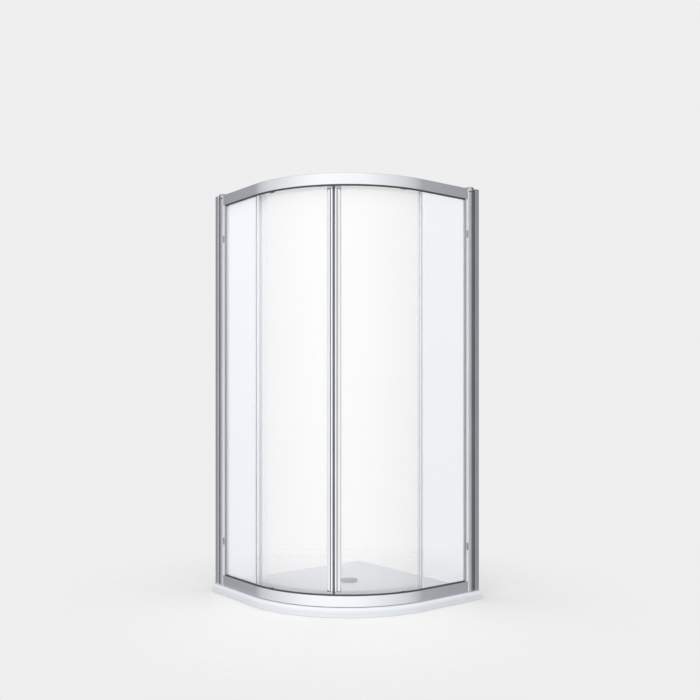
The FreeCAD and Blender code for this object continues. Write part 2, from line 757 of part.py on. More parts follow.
# ---- rail connectors, stops and screws -----------------------------------------------
def rail_connector(z_of):
    """Plastic end plate of a rail, with a hollow tongue in the wheel channel."""
    clear = CONNECTOR_CLEAR
    plate = along_side([(0.3, 0.3, 1.5), (0.3, RAIL_FACE - 0.3, 1.0),
                        (FIXED_OUT + 9.0, RAIL_FACE - 0.3, 1.0), (FIXED_OUT + 9.0, PARTITION_V),
                        (RAIL_DEPTH - 0.3, PARTITION_V - 8.0, 2.0), (RAIL_DEPTH - 0.3, 0.3, 1.5)],
                       z_of, POST_END + 0.05, RAIL_START - 0.05)
    u0, u1 = CHANNEL_U + clear, CHANNEL_U + CHANNEL_W - clear
    v0, v1 = PORT_V + PORT_R + clear, TRACK_V - clear
    end = RAIL_START + CONNECTOR_TONGUE
    tongue = along_side([(u0, v0), (u1, v0), (u1, v1), (u0, v1)], z_of, RAIL_START - 0.05, end)
    w = 2.0
    hollow = along_side([(u0 + w, v0 + w), (u1 - w, v0 + w), (u1 - w, v1 - w), (u0 + w, v1 - w)],
                        z_of, RAIL_START + 3.0, end)
    body = plate.fuse(tongue.cut(hollow))
    for u in screw_port_places():
        at = Vector(POST_END - HALF, FACE_Y + u, z_of(PORT_V))
        body = body.cut(Part.makeCylinder(SCREW_R + 0.1, CONNECTOR_PLATE + 1.0, at, Vector(1, 0, 0)))
    return body.removeSplitter()


def door_stop(z_of):
    """Rubber buffer in the wheel channel, just past the open trailing wheel."""
    clear = CONNECTOR_CLEAR
    u0, u1 = CHANNEL_U + clear, CHANNEL_U + CHANNEL_W - clear
    v0, v1 = RAIL_WALL + clear, TRACK_V - clear
    arc_left = TRACK_R * math.radians(TRAIL_DEG)
    travel = TRACK_R * math.radians(DOOR_TRAVEL_DEG)
    wheel_s = STRAIGHT - (travel - arc_left)
    s1 = wheel_s - WHEEL_R - STOP_GAP
    outline = [(u0 + PORT_R * 2 + 0.4, v0), (u1, v0), (u1, v1, 1.0), (u0, v1, 1.0),
               (u0, PORT_V + PORT_R + clear), (u0 + PORT_R * 2 + 0.4, PORT_V + PORT_R + clear)]
    body = along_side(outline, z_of, s1 - STOP_LENGTH, s1)
    nose = [e for e in body.Edges if e.BoundBox.XMin > s1 - HALF - 0.01]
    return body.makeFillet(0.8, nose)


def screw(length, head_r, head_t):
    """Pan-head screw pointing along +X from the underside of its head at the origin."""
    steps = [(-head_t, 0), (-head_t, head_r * 0.6), (-head_t * 0.5, head_r), (0, head_r),
             (0, SCREW_R), (length, SCREW_R), (length, 0)]
    points = [Vector(x, r, 0) for x, r in steps]
    face = Part.Face(Part.makePolygon(points + [points[0]]))
    return face.revolve(Vector(0, 0, 0), Vector(1, 0, 0), 360)


def rail_screws():
    """Screws from inside each post, through the connector plate, into the rail's ports."""
    made = []
    for z_of in (low, high):
        for u in screw_port_places():
            piece = screw(SCREW_LENGTH, 2.6, SCREW_HEAD_T)
            piece.translate(Vector(POST_END - POST_WALL - HALF, FACE_Y + u, z_of(PORT_V)))
            made.append(piece)
    return made


def post_screws():
    """Screws from the shower side that lock the post in the wall channel."""
    made = []
    u1 = CHANNEL_OUT + CHANNEL_DEPTH
    for z in post_screw_heights():
        piece = screw(9.0, SCREW_HEAD_R, SCREW_HEAD_T)
        piece.rotate(Vector(0, 0, 0), UP, -90)
        piece.translate(Vector(post_screw_s() - HALF, FACE_Y + u1, z))
        made.append(piece)
    return made


# ---- door --------------------------------------------------------------------------
def roller_stations():
    """Angle along the arc and name of the two rollers at each end of a door."""
    return [("lead", LEAD_DEG), ("trail", TRAIL_DEG)]


def door_glass():
    u0, u1 = DOOR_OUT, DOOR_IN
    short = MAGNET_T + MAGNET_GAP + STILE_W - GLASS_IN_STILE + GLASS_SLOT_CLEAR
    edge = math.degrees(short / DOOR_R)
    z0, z1 = low(DOOR_EDGE_V), high(DOOR_EDGE_V)
    points = [station_point(0, u0, z0), station_point(0, u1, z0),
              station_point(0, u1, z1), station_point(0, u0, z1)]
    face = Part.Face(Part.makePolygon(points + [points[0]]))
    glass = to_station(face.revolve(ARC_AXIS, UP, 45.0 - edge - EDGE_DEG), EDGE_DEG)
    holes = [radial_hole(GLASS_HOLE_R, u0 - 3, u1 + 3, z_of(CLAMP_V), degrees)
             for _, degrees in roller_stations() for z_of in (low, high)]
    return glass.cut(holes)


def stile_outline():
    """Section of the meeting stile in (t, u): land, cove, grip swell and glass slot."""
    near = -(MAGNET_GAP + MAGNET_T)
    far = near - STILE_W
    front = DOOR_OUT - STILE_PROUD
    back = DOOR_IN + STILE_BACK
    slot_end = near - (STILE_W - GLASS_IN_STILE)
    clear = GLASS_SLOT_CLEAR
    land = near - STILE_LAND
    seat = 2.1
    seat_half = 3.6
    middle = (DOOR_OUT + DOOR_IN) / 2
    return [
        (near, front + 2.0, 1.2),
        (near - 2.0, front, 1.2),
        (land, front, 0.6),
        (land - 1.6, front + 2.6, 0.8),
        (land - 4.2, front + 1.4, 1.4),
        (far + 5.0, front + 3.6, 4.0),
        (far, DOOR_OUT + drop(far) - clear - 1.4, 0.5),
        (far, DOOR_OUT + drop(far) - clear),
        (slot_end, DOOR_OUT + drop(slot_end) - clear),
        (slot_end, DOOR_IN + drop(slot_end) + clear),
        (far, DOOR_IN + drop(far) + clear),
        (far, DOOR_IN + drop(far) + clear + 1.6, 0.6),
        (far + 6.0, back, 2.5),
        (near - 2.0, back, 1.2),
        (near, back - 2.0, 1.2),
        (near, middle + seat_half),
        (near - seat, middle + seat_half),
        (near - seat, middle - seat_half),
        (near, middle - seat_half),
    ]


def door_stile():
    return at_station(stile_outline(), low(STILE_V + STILE_CAP), high(STILE_V + STILE_CAP), 45.0)


def stile_caps():
    made = []
    for z_of in (low, high):
        z0, z1 = sorted((z_of(STILE_V), z_of(STILE_V + STILE_CAP)))
        made.append(at_station(stile_outline(), z0, z1, 45.0))
    return made


def magnetic_seal():
    near = 0.02 - MAGNET_GAP - MAGNET_T
    middle = (DOOR_OUT + DOOR_IN) / 2
    root = 3.4
    half = 7.4
    outline = [
        (-MAGNET_GAP, middle - half, 0.8),
        (-MAGNET_GAP, middle + half, 0.8),
        (near, middle + half),
        (near, middle + root),
        (near - 1.9, middle + root),
        (near - 1.9, middle - root),
        (near, middle - root),
        (near, middle - half),
    ]
    return at_station(outline, low(STILE_V), high(STILE_V), 45.0)


def trailing_seal():
    """Clear strip on the door's trailing edge, with a fin towards the fixed glass."""
    gap = 0.2
    wall = 1.3
    reach = 12.0
    back = -1.6
    outline = [
        (back, DOOR_OUT - TRAIL_FIN - wall),
        (back + 1.1, DOOR_OUT - TRAIL_FIN - wall),
        (back + 1.5, DOOR_OUT - gap - wall),
        (reach, DOOR_OUT - gap - wall, 0.5),
        (reach, DOOR_OUT - gap + 0.12),
        (-0.1, DOOR_OUT - gap),
        (-0.1, DOOR_IN + gap),
        (reach, DOOR_IN + gap + 0.12),
        (reach, DOOR_IN + gap + wall + 0.12, 0.5),
        (back, DOOR_IN + gap + wall, 0.6),
    ]
    return at_station(outline, low(STILE_V), high(STILE_V), EDGE_DEG)


def roller_plate(z_of, degrees):
    """Pressed bracket: wide where it clamps the glass, a rounded neck at the axle."""
    low_v = CLAMP_V + 8.0
    shoulder_v = DOOR_EDGE_V + 2.5
    outline = [
        (-PLATE_HALF, low_v, 3.0),
        (PLATE_HALF, low_v, 3.0),
        (PLATE_HALF, shoulder_v, 2.5),
        (NECK_HALF, shoulder_v - 5.0, 2.0),
        (NECK_HALF, AXLE_V - NECK_HALF, NECK_HALF * 0.98),
        (-NECK_HALF, AXLE_V - NECK_HALF, NECK_HALF * 0.98),
        (-NECK_HALF, shoulder_v - 5.0, 2.0),
        (-PLATE_HALF, shoulder_v, 2.5),
    ]
    wire = rounded_wire(outline, lambda t, v: station_point(t, PLATE_U, z_of(v)))
    plate = to_station(Part.Face(wire).extrude(Vector(0, PLATE_T, 0)), degrees)
    cutters = [
        radial_hole(AXLE_R + AXLE_CLEAR, PLATE_U - 1, PLATE_U + PLATE_T + 1, z_of(AXLE_V), degrees),
        radial_hole(CLAMP_R + 0.2, PLATE_U - 1, PLATE_U + PLATE_T + 1, z_of(CLAMP_V), degrees),
    ]
    return plate.cut(cutters)


def roller_axle(z_of, degrees):
    """Shouldered axle, riveted in the plate, with its head sunk in the wheel."""
    wheel_out = WHEEL_U - WHEEL_W / 2
    wheel_in = WHEEL_U + WHEEL_W / 2
    head_r = AXLE_R + 0.6
    steps = [
        (wheel_out + 0.2, head_r),
        (wheel_out + 1.0, head_r),
        (wheel_out + 1.0, AXLE_R),
        (wheel_in + 0.3, AXLE_R),
        (wheel_in + 0.3, SHOULDER_R),
        (PLATE_U - 0.05, SHOULDER_R),
        (PLATE_U - 0.05, AXLE_R),
        (PLATE_U + PLATE_T, AXLE_R),
        (PLATE_U + PLATE_T, AXLE_R + 1.5),
        (PLATE_U + PLATE_T + 1.5, AXLE_R + 1.0),
    ]
    return radial_turning(steps, z_of(AXLE_V), degrees)


def wheel(z_of, degrees):
    """Nylon wheel with rounded tread edges and a recess for the axle's head."""
    out, back = WHEEL_U - WHEEL_W / 2, WHEEL_U + WHEEL_W / 2
    bore = AXLE_R + AXLE_CLEAR
    recess_r = AXLE_R + 1.4
    ease = 0.5
    outline = [
        (bore, out + 1.3),
        (recess_r, out + 1.3),
        (recess_r, out),
        (WHEEL_R - ease, out),
        (WHEEL_R, out + ease),
        (WHEEL_R, back - ease),
        (WHEEL_R - ease, back),
        (bore, back),
    ]
    z = z_of(AXLE_V)
    points = [station_point(r, u, z) for r, u in outline]
    face = Part.Face(Part.makePolygon(points + [points[0]]))
    return to_station(face.revolve(station_point(0, 0, z), Vector(0, 1, 0), 360), degrees)


def glass_clamp(z_of, degrees):
    """Bolt, washer and nut that clamp one roller bracket through the door glass."""
    z = z_of(CLAMP_V)
    head_u = DOOR_OUT - CLAMP_GAP
    tip_u = PLATE_U + PLATE_T + CLAMP_NUT_T + 1.0
    bolt = radial_turning([(head_u - CLAMP_HEAD_T, CLAMP_HEAD_R - 1.2),
                           (head_u - CLAMP_HEAD_T + 1.2, CLAMP_HEAD_R),
                           (head_u, CLAMP_HEAD_R), (head_u, CLAMP_R), (tip_u, CLAMP_R)], z, degrees)
    washer_out = DOOR_IN + CLAMP_GAP
    washer = radial_hole(CLAMP_HEAD_R, washer_out, PLATE_U, z, degrees)
    washer = washer.cut(radial_hole(CLAMP_R + 0.1, washer_out - 1, PLATE_U + 1, z, degrees))
    u0, u1 = PLATE_U + PLATE_T, PLATE_U + PLATE_T + CLAMP_NUT_T
    points = [station_point(CLAMP_NUT_R * math.cos(math.radians(60 * i)), u0,
                            z + CLAMP_NUT_R * math.sin(math.radians(60 * i))) for i in range(6)]
    nut = Part.Face(Part.makePolygon(points + [points[0]])).extrude(Vector(0, u1 - u0, 0))
    nut = to_station(nut, degrees)
    nut = nut.cut(radial_hole(CLAMP_R + 0.1, u0 - 1, u1 + 1, z, degrees))
    return [bolt, washer, nut]


# ---- assembly ----------------------------------------------------------------------
def save(name, shapes):
    """Writes one node; a list becomes a group of separate solids."""
    group = shapes if isinstance(shapes, list) else [shapes]
    solids = [solid for shape in group for solid in shape.Solids]
    shape = solids[0] if len(solids) == 1 else Part.makeCompound(solids)
    shape.exportStep("parts/" + name + ".step")
    volume = sum(solid.Volume for solid in solids) / 1000.0
    valid = all(solid.isValid() and solid.Volume > 0 for solid in solids)
    print("%-24s %2d solids %10.2f cm3 %s" % (name, len(solids), volume, "ok" if valid else "BAD"))


def both_sides(name, shapes):
    """Writes the left node and its mirror image on the right."""
    group = shapes if isinstance(shapes, list) else [shapes]
    save("left_" + name, group)
    save("right_" + name, [mirrored(shape) for shape in group])


def shared(name, shapes):
    """Writes one node that holds the pieces of both sides."""
    save(name, shapes + [mirrored(shape) for shape in shapes])


def main():
    os.makedirs("parts", exist_ok=True)
    save("shower_tray", shower_tray())
    save("waste_body", waste_body())
    save("waste_gasket", waste_gasket())
    save("waste_clamp_nut", waste_clamp_nut())
    save("waste_cover", waste_cover())
    save("bottom_rail", rail(low))
    save("top_rail", rail(high))
    save("bottom_wiper", rail_wiper(low))
    save("top_wiper", rail_wiper(high))
    both_sides("wall_channel", wall_channel())
    both_sides("post", side_post())
    both_sides("post_cap", post_cap())
    shared("channel_caps", [channel_cap()])
    both_sides("bottom_connector", rail_connector(low))
    both_sides("top_connector", rail_connector(high))
    both_sides("fixed_glass", fixed_glass())
    both_sides("glazing_bead", glazing_bead())
    both_sides("glazing_gasket", glazing_gasket())
    both_sides("fixed_edge_seal", fixed_edge_seal())
    shared("glazing_clips", [glazing_clip(z) for z in clip_heights()])
    shared("inner_glass_seals", inner_glass_seals())
    shared("door_stops", [door_stop(low), door_stop(high)])
    shared("rail_screws", rail_screws())
    shared("post_screws", post_screws())
    both_sides("door_glass", door_glass())
    both_sides("door_stile", door_stile())
    both_sides("stile_caps", stile_caps())
    both_sides("magnetic_seal", magnetic_seal())
    both_sides("trailing_seal", trailing_seal())
    levels = [("bottom", low), ("top", high)]
    for level, z_of in levels:
        plates = [roller_plate(z_of, degrees) for _, degrees in roller_stations()]
        both_sides(level + "_roller_plates", plates)
        for name, degrees in roller_stations():
            both_sides(level + "_" + name + "_wheel", wheel(z_of, degrees))
    places = [(z_of, degrees) for _, z_of in levels for _, degrees in roller_stations()]
    both_sides("roller_axles", [roller_axle(z_of, degrees) for z_of, degrees in places])
    clamps = [piece for z_of, degrees in places for piece in glass_clamp(z_of, degrees)]
    both_sides("glass_clamps", clamps)


main()
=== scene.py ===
import logging
import math
from collections.abc import Callable, Sequence
from dataclasses import dataclass
from enum import Enum

import bpy
from mathutils import Matrix, Vector


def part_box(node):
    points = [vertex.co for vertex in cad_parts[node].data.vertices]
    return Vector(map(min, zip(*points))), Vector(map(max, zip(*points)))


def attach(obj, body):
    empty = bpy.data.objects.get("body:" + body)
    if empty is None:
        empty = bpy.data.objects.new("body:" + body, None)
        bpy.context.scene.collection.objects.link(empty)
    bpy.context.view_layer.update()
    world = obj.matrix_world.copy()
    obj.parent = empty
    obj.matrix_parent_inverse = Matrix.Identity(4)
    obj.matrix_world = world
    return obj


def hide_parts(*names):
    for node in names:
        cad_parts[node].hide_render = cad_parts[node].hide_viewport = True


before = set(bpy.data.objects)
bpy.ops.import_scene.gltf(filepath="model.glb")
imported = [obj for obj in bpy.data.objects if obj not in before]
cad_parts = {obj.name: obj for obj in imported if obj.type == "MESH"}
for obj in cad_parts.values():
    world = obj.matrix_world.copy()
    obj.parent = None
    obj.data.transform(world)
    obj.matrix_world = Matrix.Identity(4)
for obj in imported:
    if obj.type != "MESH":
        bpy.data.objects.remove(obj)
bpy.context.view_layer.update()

log = logging.getLogger("shower_enclosure")

Outline = Sequence[tuple[float, ...]]
Place = Callable[[float, float], Vector]


# ---- setting out ---------------------------------------------------------------------
# Station along the arc where the two doors meet, in degrees.
MEETING = 45.0


@dataclass(frozen=True)
class SettingOut:
    """Lines that every sub-assembly is set out from, in metres.

    The side along -Y is drawn first and the side along +X is its mirror image. u is the
    depth from the rail's outer face towards the inside, v the height from a rail's flat
    back towards its open edge, s the distance from the wall, and t the distance along
    the tangent at a place on the arc.
    """

    half: float = 0.45
    tray_height: float = 0.040
    front_radius: float = 0.55
    rail_inset: float = 0.020
    waste_offset: float = 0.135
    door_depth: float = 0.035
    glass: float = 0.006
    door_overlap: float = 0.018
    lead_roller: float = 0.060
    trail_roller: float = 0.090
    top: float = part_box("top_rail")[1][2]

    @property
    def arc_centre(self) -> Vector:
        """Centre of the quarter arcs, on the floor."""
        across = self.half - self.front_radius
        return Vector((across, -across, 0.0))

    @property
    def face_y(self) -> float:
        """Where the rails' outer face stands on the side that is drawn."""
        return self.rail_inset - self.half

    @property
    def door_radius(self) -> float:
        """Radius of the door glass's middle."""
        return self.front_radius - self.rail_inset - self.door_depth - self.glass / 2

    @property
    def trailing_edge(self) -> float:
        """Station of the door's trailing edge, in degrees."""
        return -math.degrees(self.door_overlap / self.door_radius)

    @property
    def stations(self) -> dict[str, float]:
        """Station of each end's rollers along the arc, in degrees."""
        return {"lead": MEETING - math.degrees(self.lead_roller / self.door_radius),
                "trail": self.trailing_edge + math.degrees(self.trail_roller / self.door_radius)}

    def low(self, v: float) -> float:
        """Height of v above the tray."""
        return self.tray_height + v

    def high(self, v: float) -> float:
        """Height of v below the top rail's back."""
        return self.top - v

    def upright(self, z: float) -> Place:
        """Places (s, u) on a level plane, for what stands along the straight side."""
        return lambda s, u: Vector((s - self.half, self.face_y + u, z))

    def across(self, x: float, z_of: Callable[[float], float]) -> Place:
        """Places (u, v) on the upright plane that crosses the rails at x."""
        return lambda u, v: Vector((x, self.face_y + u, z_of(v)))

    def along(self, u: float, v0: float) -> Place:
        """Places (t, v) on the upright plane at depth u, with v counted from v0."""
        return lambda t, v: Vector((self.arc_centre.x + t, self.face_y + u, v0 + v))

    def at_arc_start(self, z: float) -> Place:
        """Places (t, u) on a level plane at the start of the arc."""
        return lambda t, u: Vector((self.arc_centre.x + t, self.face_y + u, z))

    def radial(self, v: float) -> Place:
        """Places (u, radius) beside a radial axis at the arc's start, v above the floor."""
        return lambda u, radius: Vector((self.arc_centre.x + radius, self.face_y + u, v))

    def at_waste(self, z: float, radius: float) -> Vector:
        """A place beside the waste's upright axis."""
        return Vector((radius - self.waste_offset, self.waste_offset, z))


SET = SettingOut()


class Level(Enum):
    """The two ends of the doors; each value begins its nodes' names."""

    BOTTOM = "bottom"
    TOP = "top"

    def height(self) -> Callable[[float], float]:
        """The function that turns v into a height at this level."""
        return SET.low if self is Level.BOTTOM else SET.high


# ---- bench: modelling steps ------------------------------------------------------------
MIRROR = Matrix(((0, -1, 0, 0), (-1, 0, 0, 0), (0, 0, 1, 0), (0, 0, 0, 1)))
UP = Vector((0.0, 0.0, 1.0))
INWARD = Vector((0.0, 1.0, 0.0))
SMOOTH_DEGREES = 40.0
# Flats in a rounded corner, by the radius that it stays under.
ROUND_STEPS = ((0.001, 2), (0.004, 4), (math.inf, 8))
# Size of the plane that is merged to a line's first corner.
SEED_SIZE = 0.01
# Tolerances in metres: beside a plane, on a corner, and for merging doubles.
NEAR = 1e-4
TOUCHING = 1e-5
WELD = 1e-6
# Parts of a normal that tell a face's side from its edge, and its top from the rest.
EDGEWISE = 0.8
UPWARD = 0.5
FINE_EASE = 0.0003


def rise(height: float) -> Vector:
    """A step straight up."""
    return Vector((0.0, 0.0, height))


def rod(start: float, end: float, radius: float) -> Outline:
    """Half profile of a plain round bar."""
    return [(start, 0.0), (start, radius), (end, radius), (end, 0.0)]


def ring(start: float, end: float, inner: float, outer: float) -> Outline:
    """Half profile of a plain ring."""
    return [(start, inner), (start, outer), (end, outer), (end, inner)]


def oblong(a0: float, b0: float, a1: float, b1: float, *radius: float) -> Outline:
    """Outline of an oblong, with a radius at every corner where one is given."""
    return [(a0, b0, *radius), (a1, b0, *radius), (a1, b1, *radius), (a0, b1, *radius)]


def set_mode(name: str) -> None:
    """Goes to object or edit mode."""
    bpy.ops.object.mode_set(mode=name)


def select_mesh() -> None:
    """Selects everything in edit mode."""
    bpy.ops.mesh.select_all(action="SELECT")


def clear_selection() -> None:
    """Leaves edit mode and deselects every object."""
    if bpy.context.mode != "OBJECT":
        set_mode("OBJECT")
    bpy.ops.object.select_all(action="DESELECT")


def take(piece: bpy.types.Object) -> None:
    """Makes one object the selected and active one."""
    clear_selection()
    piece.select_set(True)
    bpy.context.view_layer.objects.active = piece


def draw_line(name: str, points: Sequence[Vector]) -> bpy.types.Object:
    """Draws a line corner by corner and stays in edit mode.

    Args:
        name: The new piece's name.
        points: The corners in order.

    Returns:
        The piece, with its line selected.
    """
    clear_selection()
    bpy.ops.mesh.primitive_plane_add(size=SEED_SIZE)
    piece = bpy.context.active_object
    piece.name = name
    piece.data.name = name
    set_mode("EDIT")
    bpy.ops.mesh.select_mode(type="VERT")
    select_mesh()
    bpy.ops.mesh.merge(type="CENTER")
    bpy.ops.transform.translate(value=points[0])
    for here, there in zip(points, points[1:]):
        bpy.ops.mesh.extrude_vertices_move(TRANSFORM_OT_translate={"value": there - here})
    select_mesh()
    return piece


def pick(piece: bpy.types.Object, kind: str, where: Callable[[Vector, Vector], bool]) -> None:
    """Selects faces or corners in edit mode by their place and normal.

    Args:
        piece: The piece in work.
        kind: "FACE" or "VERT".
        where: Takes a place and a normal, and says whether to select what is there.
    """
    set_mode("OBJECT")
    mesh = piece.data
    for group in (mesh.vertices, mesh.edges, mesh.polygons):
        group.foreach_set("select", [False] * len(group))
    if kind == "FACE":
        for face in mesh.polygons:
            face.select = where(face.center, face.normal)
    else:
        for corner in mesh.vertices:
            corner.select = where(corner.co, corner.normal)
    bpy.context.tool_settings.mesh_select_mode = (kind == "VERT", False, kind == "FACE")
    set_mode("EDIT")


def round_corners(piece: bpy.types.Object, corners: Sequence[Vector], radius: float,
                  segments: int) -> None:
    """Rounds corners of a flat face.

    Args:
        piece: The piece in edit mode.
        corners: Where the corners are.
        radius: The round's radius.
        segments: Flats in each round.
    """
    pick(piece, "VERT", lambda at, _: any((at - corner).length < TOUCHING for corner in corners))
    bpy.ops.mesh.bevel(offset=radius, offset_type="OFFSET", segments=segments, profile=0.5,
                       affect="VERTICES")


def draw_section(name: str, outline: Outline, place: Place) -> bpy.types.Object:
    """Draws a flat section and rounds the corners that give a radius.

    Args:
        name: The new piece's name.
        outline: Corners as (a, b) or (a, b, radius).
        place: Turns a and b into a point.

    Returns:
        The piece in edit mode, with one face.
    """
    piece = draw_line(name, [place(corner[0], corner[1]) for corner in outline])
    bpy.ops.mesh.edge_face_add()
    rounded = [corner for corner in outline if len(corner) > 2]
    for radius in sorted({corner[2] for corner in rounded}, reverse=True):
        corners = [place(corner[0], corner[1]) for corner in rounded if corner[2] == radius]
        segments = next(steps for limit, steps in ROUND_STEPS if radius < limit)
        round_corners(piece, corners, radius, segments)
    return piece


def push(offset: Vector) -> None:
    """Extrudes what is selected by an offset."""
    bpy.ops.mesh.extrude_region_move(TRANSFORM_OT_translate={"value": offset})


def close_up() -> None:
    """Fills open ends, turns faces outwards and leaves edit mode."""
    select_mesh()
    bpy.ops.mesh.fill_holes(sides=0)
    select_mesh()
    bpy.ops.mesh.normals_make_consistent(inside=False)
    set_mode("OBJECT")


def apply_modifier(piece: bpy.types.Object, kind: str, **settings: object) -> None:
    """Adds one modifier with its settings and applies it."""
    take(piece)
    modifier = piece.modifiers.new(kind.lower(), kind)
    for key, value in settings.items():
        setattr(modifier, key, value)
    bpy.ops.object.modifier_apply(modifier=modifier.name)


def ease_edges(piece: bpy.types.Object, width: float, segments: int = 2,
               degrees: float = 35.0) -> None:
    """Rounds sharp edges a little.

    Args:
        piece: The finished closed shape.
        width: Width of the eased edge.
        segments: Flats across each eased edge.
        degrees: Edges sharper than this are eased.
    """
    apply_modifier(piece, "BEVEL", width=width, segments=segments, limit_method="ANGLE",
                   angle_limit=math.radians(degrees), miter_outer="MITER_SHARP",
                   use_clamp_overlap=True)


def shade(piece: bpy.types.Object) -> None:
    """Shades a piece smooth across its small angles and keeps its flat faces flat."""
    take(piece)
    bpy.ops.object.shade_smooth_by_angle(angle=math.radians(SMOOTH_DEGREES))
    apply_modifier(piece, "WEIGHTED_NORMAL", keep_sharp=True, weight=80)


def bar(name: str, outline: Outline, place: Place, offset: Vector,
        ease: float = 0.0) -> bpy.types.Object:
    """A straight length of one section.

    Args:
        name: The new piece's name.
        outline: Corners as (a, b) or (a, b, radius).
        place: Turns a and b into a point.
        offset: How far and which way the section is pushed.
        ease: Width of its eased edges, or 0 for none.

    Returns:
        The closed piece, out of edit mode.
    """
    piece = draw_section(name, outline, place)
    select_mesh()
    push(offset)
    close_up()
    if ease > 0.0:
        ease_edges(piece, ease)
    return piece


def upright_bar(name: str, outline: Outline, v: float, ease: float = 0.0) -> bpy.types.Object:
    """A length that stands on the left side, v short of the tray and of the top rail's back."""
    z0 = SET.low(v)
    return bar(name, outline, SET.upright(z0), rise(SET.high(v) - z0), ease)


def sweep(degrees: float, steps: int) -> None:
    """Spins what is selected round the arc's axis, away from the left wall."""
    bpy.ops.mesh.spin(steps=steps, angle=math.radians(degrees), center=SET.arc_centre,
                      axis=(0.0, 0.0, -1.0))


def bent(name: str, outline: Outline, z_of: Callable[[float], float], start: float,
         steps: int) -> bpy.types.Object:
    """One length that follows a straight side, the quarter arc and the other side.

    Args:
        name: The new piece's name.
        outline: Its section in (u, v).
        z_of: Turns v into a height.
        start: Distance of its ends from the walls.
        steps: Flats round the arc.

    Returns:
        The closed piece, out of edit mode.
    """
    leg = SET.arc_centre.x + SET.half - start
    start_x = SET.arc_centre.x
    piece = draw_section(name, outline, SET.across(start_x, z_of))
    select_mesh()
    push(Vector((-leg, 0.0, 0.0)))
    pick(piece, "FACE",
         lambda at, normal: abs(at.x - start_x) < TOUCHING and abs(normal.x) > EDGEWISE)
    bpy.ops.mesh.delete(type="ONLY_FACE")
    bpy.ops.mesh.select_mode(type="EDGE")
    bpy.ops.mesh.select_all(action="DESELECT")
    bpy.ops.mesh.select_non_manifold()
    sweep(90.0, steps)
    push(Vector((0.0, leg, 0.0)))
    close_up()
    return piece


def turned(name: str, profile: Outline, place: Place, axis: Vector,
           facets: int = 40) -> bpy.types.Object:
    """A turned piece, spun from its half profile.

    Args:
        name: The new piece's name.
        profile: (distance along the axis, radius) pairs; ends with a radius of 0 close it.
        place: Turns the distance along the axis and the radius into a point.
        axis: Direction of the turning axis.
        facets: Flats round the piece.

    Returns:
        The closed piece, out of edit mode.
    """
    piece = draw_line(name, [place(along, radius) for along, radius in profile])
    if profile[0][1] > 0.0:
        bpy.ops.mesh.edge_face_add()
        bpy.ops.mesh.delete(type="ONLY_FACE")
        select_mesh()
    bpy.ops.mesh.spin(steps=facets, angle=2 * math.pi, center=place(0.0, 0.0), axis=axis)
    select_mesh()
    bpy.ops.mesh.remove_doubles(threshold=WELD)
    close_up()
    return piece


def cut_away(piece: bpy.types.Object, cutter: bpy.types.Object) -> None:
    """Cuts one closed shape out of another and removes the cutter."""
    apply_modifier(piece, "BOOLEAN", operation="DIFFERENCE", solver="EXACT", object=cutter)
    bpy.data.objects.remove(cutter)


def add_to(piece: bpy.types.Object, other: bpy.types.Object) -> None:
    """Unites another closed shape with the piece."""
    apply_modifier(piece, "BOOLEAN", operation="UNION", solver="EXACT", object=other)
    bpy.data.objects.remove(other)


def joined(name: str, pieces: Sequence[bpy.types.Object]) -> bpy.types.Object:
    """Makes several separate shapes one piece."""
    clear_selection()
    for piece in pieces:
        piece.select_set(True)
    bpy.context.view_layer.objects.active = pieces[0]
    if len(pieces) > 1:
        bpy.ops.object.join()
    pieces[0].name = name
    pieces[0].data.name = name
    return pieces[0]


def at_station(degrees: float) -> Matrix:
    """Turns a piece drawn at the arc's start to its place along the arc."""
    centre = Matrix.Translation(SET.arc_centre)
    return centre @ Matrix.Rotation(math.radians(degrees), 4, "Z") @ centre.inverted()


def at_level(level: Level) -> Matrix:
    """Lifts a piece drawn with v as its height to the bottom rail, or turns it to the top rail."""
    if level is Level.BOTTOM:
        return Matrix.Translation(rise(SET.tray_height))
    return Matrix.Translation(rise(SET.top)) @ Matrix.Scale(-1.0, 4, UP)


def settle(piece: bpy.types.Object, matrix: Matrix) -> None:
    """Moves a piece's mesh and leaves its object at the origin."""
    piece.data.transform(matrix)
    piece.data.update()


def copy_of(piece: bpy.types.Object, name: str, matrix: Matrix) -> bpy.types.Object:
    """Copies a shape with its own mesh and settles the copy.

    Args:
        piece: The shape to repeat.
        name: The copy's name.
        matrix: Where the copy goes; a mirror's faces are turned outwards again.

    Returns:
        The copy.
    """
    twin = piece.copy()
    twin.data = piece.data.copy()
    twin.name = name
    twin.data.name = name
    bpy.context.collection.objects.link(twin)
    settle(twin, matrix)
    if matrix.determinant() < 0.0:
        take(twin)
        set_mode("EDIT")
        select_mesh()
        bpy.ops.mesh.flip_normals()
        set_mode("OBJECT")
    return twin


def on_right(name: str) -> str:
    """The right side's name for a name on the left side."""
    return name.replace("left_", "right_", 1)


# ---- finishes --------------------------------------------------------------------------
Colour = tuple[float, float, float]
Span = tuple[float, float]
Socket = bpy.types.NodeSocket
WHITE: Colour = (1.0, 1.0, 1.0)
NOISE_SPAN: Span = (0.3, 0.7)


def feed(tree: bpy.types.NodeTree, target: Socket, value: object) -> None:
    """Links a socket to an input, or sets the input to a value."""
    if isinstance(value, bpy.types.NodeSocket):
        tree.links.new(value, target)
    else:
        target.default_value = value


def add_node(tree: bpy.types.NodeTree, kind: str, inputs: dict[str | int, object] | None = None,
             **settings: object) -> bpy.types.Node:
    """Adds one shader node.

    Args:
        tree: The node tree.
        kind: The node's type, without ShaderNode.
        inputs: What feeds each input, by the input's name or number.
        settings: The node's own settings.

    Returns:
        The node.
    """
    node = tree.nodes.new(f"ShaderNode{kind}")
    for key, value in settings.items():
        setattr(node, key, value)
    for key, value in (inputs or {}).items():
        feed(tree, node.inputs[key], value)
    return node


